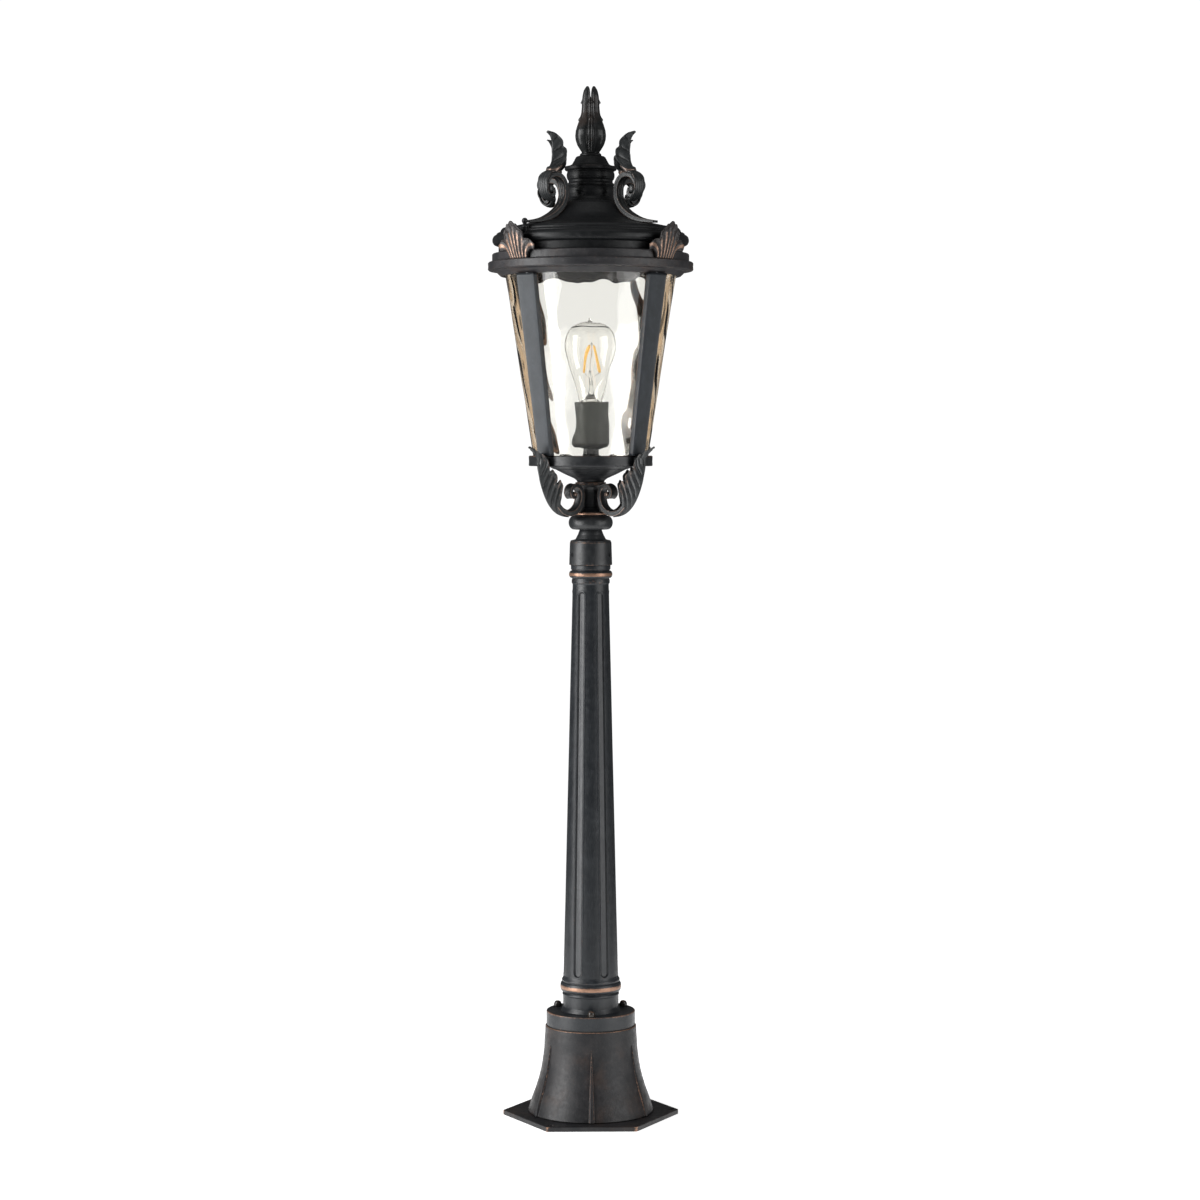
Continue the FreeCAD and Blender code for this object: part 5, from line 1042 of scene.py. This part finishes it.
def bud():
    """Four ridged leaves closed round a core, their tips parted at the top."""
    g = Geo()
    env_z = [1171.5, 1173.5, 1176.5, 1182.0, 1188.0, 1193.0, 1199.0, 1206.0, 1213.0, 1220.0, 1227.0, 1234.0, 1241.0, 1247.0, 1252.2]
    env_r = [11.2, 11.8, 14.0, 17.6, 19.8, 20.4, 19.7, 17.4, 14.4, 12.4, 11.7, 11.4, 10.8, 9.4, 6.6]
    core = [(0.0, 1171.6, 0), (10.6, 1171.6, 0.2), (11.2, 1172.4, 0.3), (10.6, 1173.6, 0)] + [(max(2.2, np.interp(z, env_z, env_r) - 3.0), z, 0.0) for z in np.linspace(1176, 1238, 24)] + [(0.0, 1240.0, 0.0)]
    cg = lathe(core, 48, False)
    # painted shade: the core between the leaves is darkened as shade
    cg.h = [0.8] * len(cg.h)
    g.join(cg)
    for k in range(4):
        a0 = math.radians(45 + 90 * k)
        nu, nv = 90, 41
        U = np.linspace(0, 1, nu)[:, None] * np.ones((1, nv))
        T = np.ones((nu, 1)) * np.linspace(-1, 1, nv)[None, :]
        z = 1172.6 + (1252.0 - 1172.6) * U
        R = np.interp(z, env_z, env_r)
        span = np.interp(U, [0, 0.1, 0.3, 0.5, 0.62, 0.75, 0.86, 0.92, 0.96, 0.985, 1.0], [0.985, 0.985, 0.985, 0.98, 0.97, 0.96, 0.94, 0.88, 0.74, 0.50, 0.18]) * pi / 4
        barb = np.exp(-((z - 1213.4) / 1.9) ** 2) + 0.85 * np.exp(-((z - 1233.6) / 1.8) ** 2)
        A = np.abs(T)
        ang = a0 + T * span
        ridge = 0.7 * np.exp(-(T / 0.22) ** 2) + 0.5 * np.exp(-((A - 0.90) / 0.09) ** 2)
        groove = -1.0 * np.exp(-((A - 0.70) / 0.10) ** 2)
        body = -(0.13 + 0.03 * U) * R * A ** 2.4
        tipin = -0.0 * U
        r = R + body + (ridge + groove) * np.interp(U, [0, 0.08, 0.8, 1.0], [0.5, 1, 0.9, 0.3]) + 2.6 * barb * smoothstep(0.70, 1.0, A)
        zz = z - 1.6 * barb * smoothstep(0.7, 1.0, A) + 0.0 * A
        front = np.stack([r * np.cos(ang), r * np.sin(ang), zz], -1)
        th = 2.6 - 1.4 * U
        rb = r - th
        back = np.stack([rb * np.cos(ang), rb * np.sin(ang), zz], -1)
        w = 0.18 * np.exp(-(T / 0.10) ** 2) + 0.26 * smoothstep(0.86, 0.95, A)
        # painted shade in the groove on each leaf, and on the leaf's back (0.6)
        h = 0.8 * np.exp(-((A - 0.70) / 0.09) ** 2)
        g.join(shell(front, back, w, None, h, np.full(h.shape, 0.6)))
    return g


mesh_obj("finial_bud_leaves", bud(), "budm", "finial_bud", weighted=False)

# latch knob and screw
mesh_obj("latch_ball", lathe([(0.0, 1081.0, 0), (2.4, 1081.0, 0), (2.45, 1081.7, 0.2), (2.3, 1082.1, 0)] +
         [(3.6 * cos(t), 1084.7 + 3.6 * sin(t), 0.15) for t in np.linspace(-0.72, pi / 2 * 0.985, 16)] + [(0.0, 1088.3, 0.1)], 36, False, centre=(LX, LY)),
         "dark_steel", "latch_knob")
mesh_obj("latch_shank", lathe([(0.0, 1042.4, 0), (1.4, 1042.4, 0), (2.4, 1043.6, 0)] + [q for k in range(26) for q in ((2.4, 1045.0 + k * 0.8, 0), (2.12, 1045.4 + k * 0.8, 0))] +
         [(2.4, 1066.4, 0), (2.4, 1076.3, 0), (3.8, 1076.35, 0), (3.9, 1076.8, 0.3), (3.9, 1078.0, 0.3), (3.6, 1078.5, 0.1), (2.7, 1079.4, 0), (2.05, 1080.2, 0), (2.0, 1080.9, 0), (0.0, 1080.9, 0)], 36, False, centre=(LX, LY)),
         "dark_steel", "latch_screw")

# ------------------------------------------------------------------ glass shade
_rng = np.random.RandomState(7)
_waves = []
for _k in range(22):
    lam = _rng.uniform(20.0, 52.0)
    kt = round(2 * pi * 86.0 / lam)
    kz = 2 * pi / _rng.uniform(70.0, 220.0) * _rng.choice([-1.0, 1.0])
    _waves.append((kt, kz, _rng.uniform(0, 2 * pi), _rng.uniform(0, 2 * pi), 0.25 + 0.75 * lam / 52.0))


for _k in range(8):
    lam = _rng.uniform(20.0, 34.0)
    _waves.append((round(2 * pi * 86.0 / lam), 2 * pi / _rng.uniform(42.0, 70.0) * _rng.choice([-1.0, 1.0]), _rng.uniform(0, 2 * pi), _rng.uniform(0, 2 * pi), 0.62))


def ripple(TH, Z, which):
    s = np.zeros_like(TH)
    for kt, kz, p0, p1, amp in _waves:
        s += amp * np.sin(kt * TH + kz * Z + (p0 if which else p1))
    s /= math.sqrt(len(_waves) / 2)
    return s


def glass():
    zb, zt = 804.0, 1027.0
    segs, nz = 420, 240
    prof = []
    zs = np.linspace(zb, zt, nz)
    outer = [(69.2 + (103.3 - 69.2) * (z - zb) / (zt - zb), z) for z in zs]
    inner = [(r - 3.2, z) for r, z in outer][::-1]
    prof = [(r, z, 0) for r, z in outer + inner]

    def sh(TH, RR, ZZ, WW):
        centre = 69.2 + (103.3 - 69.2) * (ZZ - zb) / (zt - zb) - 1.6
        out = RR > centre
        env = smoothstep(zb, zb + 7, ZZ) * (1 - smoothstep(zt - 6, zt, ZZ))
        env = env * (1 + 0.9 * smoothstep(zt - 52, zt - 20, ZZ))
        d = np.where(out, 0.13 * ripple(TH, ZZ, True), 0.21 * ripple(TH, ZZ, False)) * env
        d = np.clip(d, -1.15, 0.95)
        return RR + np.where(out, np.minimum(d, 0.9), np.maximum(d, -0.9)), ZZ, WW, WW * 0
    return lathe(prof, segs, True, sh)


mesh_obj("glass_shade_rippled", glass(), "glass", "glass_shade", weighted=False)

# ------------------------------------------------------------------ lamp
hs = [(5.2, 816.0, 0, 0), (12.0, 816.0, 0, 0.6), (18.4, 818.4, 0, 1.5), (20.6, 822.0, 0, 2.0), (20.7, 824.6, 0, 1.2), (20.1, 836.0, 0, 3), (19.7, 852.0, 0, 3), (19.9, 871.6, 0, 0.6), (19.3, 872.6, 0, 0.4), (17.7, 872.6, 0, 0.4), (17.4, 871.0, 0, 0.4),
      (17.4, 838.6, 0, 0), (17.4, 824.0, 0, 0), (5.2, 824.0, 0, 0)]
mesh_obj("lamp_sleeve", lathe(rounded(hs, 0.6, 0.0, step=2.5), 96), "olive_sleeve", "holder_sleeve")

bg = [(13.4, 872.3), (14.0, 872.5), (14.5, 877.0), (15.6, 884.0), (18.4, 893.0), (22.4, 904.0), (26.4, 914.0), (29.6, 924.0), (31.4, 933.0), (31.8, 941.0), (31.1, 949.0), (28.8, 956.0), (24.4, 962.2), (18.2, 966.4), (10.6, 968.8), (5.0, 969.6), (2.9, 970.6), (2.0, 972.4), (1.2, 974.3), (0.0, 974.9)]
bo = by_length(spline(bg, 6), 110)
binner = [(max(0.0, r - 0.75), z - (0.75 if r < 24 and z > 950 else 0.0)) for r, z in bo if z < 969.2][::-1]
_bp = [(r, z, 0) for r, z in bo] + [(0.0, 968.3, 0)] + [(r, z, 0) for r, z in binner if r > 0.6]
mesh_obj("bulb_envelope_glass", lathe(_bp, 96, True), "bulb", "bulb_glass", weighted=False)


def tube(p, rad, n=10):
    P = np.array(p, float)
    T = np.gradient(P, axis=0)
    T /= np.linalg.norm(T, axis=1, keepdims=True)
    ref = np.array([0.3, 0.2, 0.93])
    V = []
    for i in range(len(P)):
        a = np.cross(T[i], ref)
        if np.linalg.norm(a) < 1e-3:
            a = np.cross(T[i], [1, 0, 0])
        a /= np.linalg.norm(a)
        b = np.cross(T[i], a)
        r = rad[i] if hasattr(rad, "__len__") else rad
        for k in range(n):
            V.append(P[i] + r * (a * cos(2 * pi * k / n) + b * sin(2 * pi * k / n)))
    m = len(P)
    F = [[i * n + k, i * n + (k + 1) % n, (i + 1) * n + (k + 1) % n, (i + 1) * n + k] for i in range(m - 1) for k in range(n)]
    F.append([k for k in range(n)][::-1])
    F.append([(m - 1) * n + k for k in range(n)])
    return Geo().add(V, F)


_f, _wires = Geo(), Geo()
for _x, _y in ((-5.4, -3.0), (5.4, -3.0), (5.4, 3.0), (-5.4, 3.0)):
    p0, p1 = np.array([_x * 1.62, _y * 1.35, 908.0]), np.array([_x * 0.40, _y * 0.40, 941.0])
    pts = [p0 + (p1 - p0) * t for t in np.linspace(0, 1, 14)]
    _f.join(tube(pts, [0.8] + [1.5] * 12 + [0.8], 12))
    q = np.array([_x * 0.25, _y * 0.25, 903.0])
    _wires.join(tube([np.array([_x * 0.18, _y * 0.18, 893.0]), q, (q + p0) / 2 + np.array([0, 0, -1.0]), p0 + np.array([0, 0, 0.4])], 0.28, 6))
_wires.join(tube([np.array([0, 0, 905.0]), np.array([0, 0, 925.0]), np.array([0, 0, 944.0])], 0.3, 6))
for _x, _y in ((-5.4, -3.0), (5.4, -3.0), (5.4, 3.0), (-5.4, 3.0)):
    _wires.join(tube([np.array([0, 0, 943.5]), np.array([_x * 0.2, _y * 0.2, 942.0]), np.array([_x * 0.42, _y * 0.42, 939.8])], 0.25, 6))
mesh_obj("filament_sticks", _f, "amber", "bulb_filaments", weighted=False)
mesh_obj("filament_wires", _wires, "nickel_plate", None, body=BODY_OF["bulb_filaments"], weighted=False)
stem = [(0.0, 872.4, 0), (12.8, 872.6, 0), (11.6, 874.4, 0), (7.4, 877.6, 0), (4.6, 882.0, 0), (3.5, 888.0, 0), (3.1, 896.0, 0), (2.3, 901.0, 0), (2.9, 904.0, 0), (2.2, 907.0, 0), (1.2, 911.0, 0), (0.0, 912.0, 0)]
mesh_obj("bulb_stem_glass", lathe(stem, 48, False), "bulb", "bulb_stem", weighted=False)
# screw cap with its rolled thread
cp = [(0.0, 843.0, 0), (4.4, 843.0, 0), (4.8, 844.4, 0), (8.6, 846.8, 0), (12.2, 849.4, 0), (12.8, 850.6, 0)]
for _i in range(46):
    _z = 850.8 + 17.6 * _i / 45
    cp.append((12.55 + 0.42 * sin(2 * pi * (_z - 850.8) / 3.62), _z, 0))
cp += [(13.0, 868.8, 0), (13.8, 870.2, 0), (14.4, 871.2, 0), (14.4, 872.0, 0), (13.6, 872.0, 0), (12.2, 868.0, 0), (12.0, 851.0, 0), (8.2, 848.0, 0), (0.0, 847.8, 0)]
mesh_obj("bulb_screw_cap", lathe(cp, 72, False), "nickel_plate", "bulb_cap", weighted=False)

# ------------------------------------------------------------------ floor, light, camera
bpy.ops.mesh.primitive_circle_add(vertices=128, radius=1.1, fill_type="NGON", location=(0, 0, 0))
floor = bpy.context.object
floor.name = "floor"
fm, fnt, fb = new_mat("floor_paint")
fb.inputs["Base Color"].default_value = (0.93, 0.93, 0.93, 1.0)
fb.inputs["Roughness"].default_value = 0.9
fb.inputs["Specular IOR Level"].default_value = 0.1
fb.inputs["Emission Color"].default_value = (1.0, 1.0, 1.0, 1.0)
fb.inputs["Emission Strength"].default_value = 0.80
floor.data.materials.append(fm)

w = bpy.data.worlds.new("studio")
bpy.context.scene.world = w
w.use_nodes = True
wn = w.node_tree
wn.nodes.clear()
wo = wn.nodes.new("ShaderNodeOutputWorld")
lp = wn.nodes.new("ShaderNodeLightPath")
seen = wn.nodes.new("ShaderNodeBackground")
seen.inputs[0].default_value = (1.0, 1.0, 1.0, 1.0)
seen.inputs[1].default_value = 1.05
fill = wn.nodes.new("ShaderNodeBackground")
fill.inputs[0].default_value = (1.0, 1.0, 1.0, 1.0)
fill.inputs[1].default_value = 0.09
mixs = wn.nodes.new("ShaderNodeMixShader")
mx = wn.nodes.new("ShaderNodeMath")
mx.operation = "MAXIMUM"
wn.links.new(lp.outputs["Is Camera Ray"], mx.inputs[0])
wn.links.new(lp.outputs["Is Transmission Ray"], mx.inputs[1])
wn.links.new(mx.outputs[0], mixs.inputs[0])
wn.links.new(fill.outputs[0], mixs.inputs[1])
wn.links.new(seen.outputs[0], mixs.inputs[2])
wn.links.new(mixs.outputs[0], wo.inputs[0])


def softbox(name, direction, dist, size, power, target=(0, 0, 0.62)):
    d = bpy.data.lights.new(name, "AREA")
    d.shape = "RECTANGLE"
    d.size, d.size_y = size
    d.energy = power
    o = bpy.data.objects.new(name, d)
    bpy.context.scene.collection.objects.link(o)
    v = Vector(direction).normalized()
    o.location = Vector(target) + v * dist
    o.rotation_mode = "QUATERNION"
    o.rotation_quaternion = (-v).to_track_quat("-Z", "Y")
    return o


softbox("key_left", (-0.93, -0.38, 0.10), 2.2, (1.5, 2.8), 85.0)
softbox("fill_right", (0.86, -0.52, 0.06), 2.6, (2.0, 2.8), 42.0)
softbox("top", (0.0, -0.15, 1.0), 3.0, (2.2, 2.2), 8.0)

cam_d = bpy.data.cameras.new("camera")
cam = bpy.data.objects.new("camera", cam_d)
bpy.context.scene.collection.objects.link(cam)
cam_d.sensor_width = 36.0
cam_d.lens = 87.0
cam_d.clip_end = 100.0
_az = math.radians(1.0)
_D = 3.5235
_side = Vector((cos(_az), -sin(_az), 0.0))
_back = Vector((-sin(_az), -cos(_az), 0.0))
cam.location = _back * _D + _side * 0.0113 + Vector((0, 0, 0.8206))
_pitch = math.radians(3.06)
_fwd = -_back
_dir = Vector((_fwd.x * cos(_pitch), _fwd.y * cos(_pitch), -sin(_pitch)))
cam.rotation_mode = "QUATERNION"
cam.rotation_quaternion = _dir.to_track_quat("-Z", "Y")
bpy.context.scene.camera = cam
bpy.context.scene.view_settings.view_transform = "Standard"
bpy.context.scene.view_settings.look = "None"
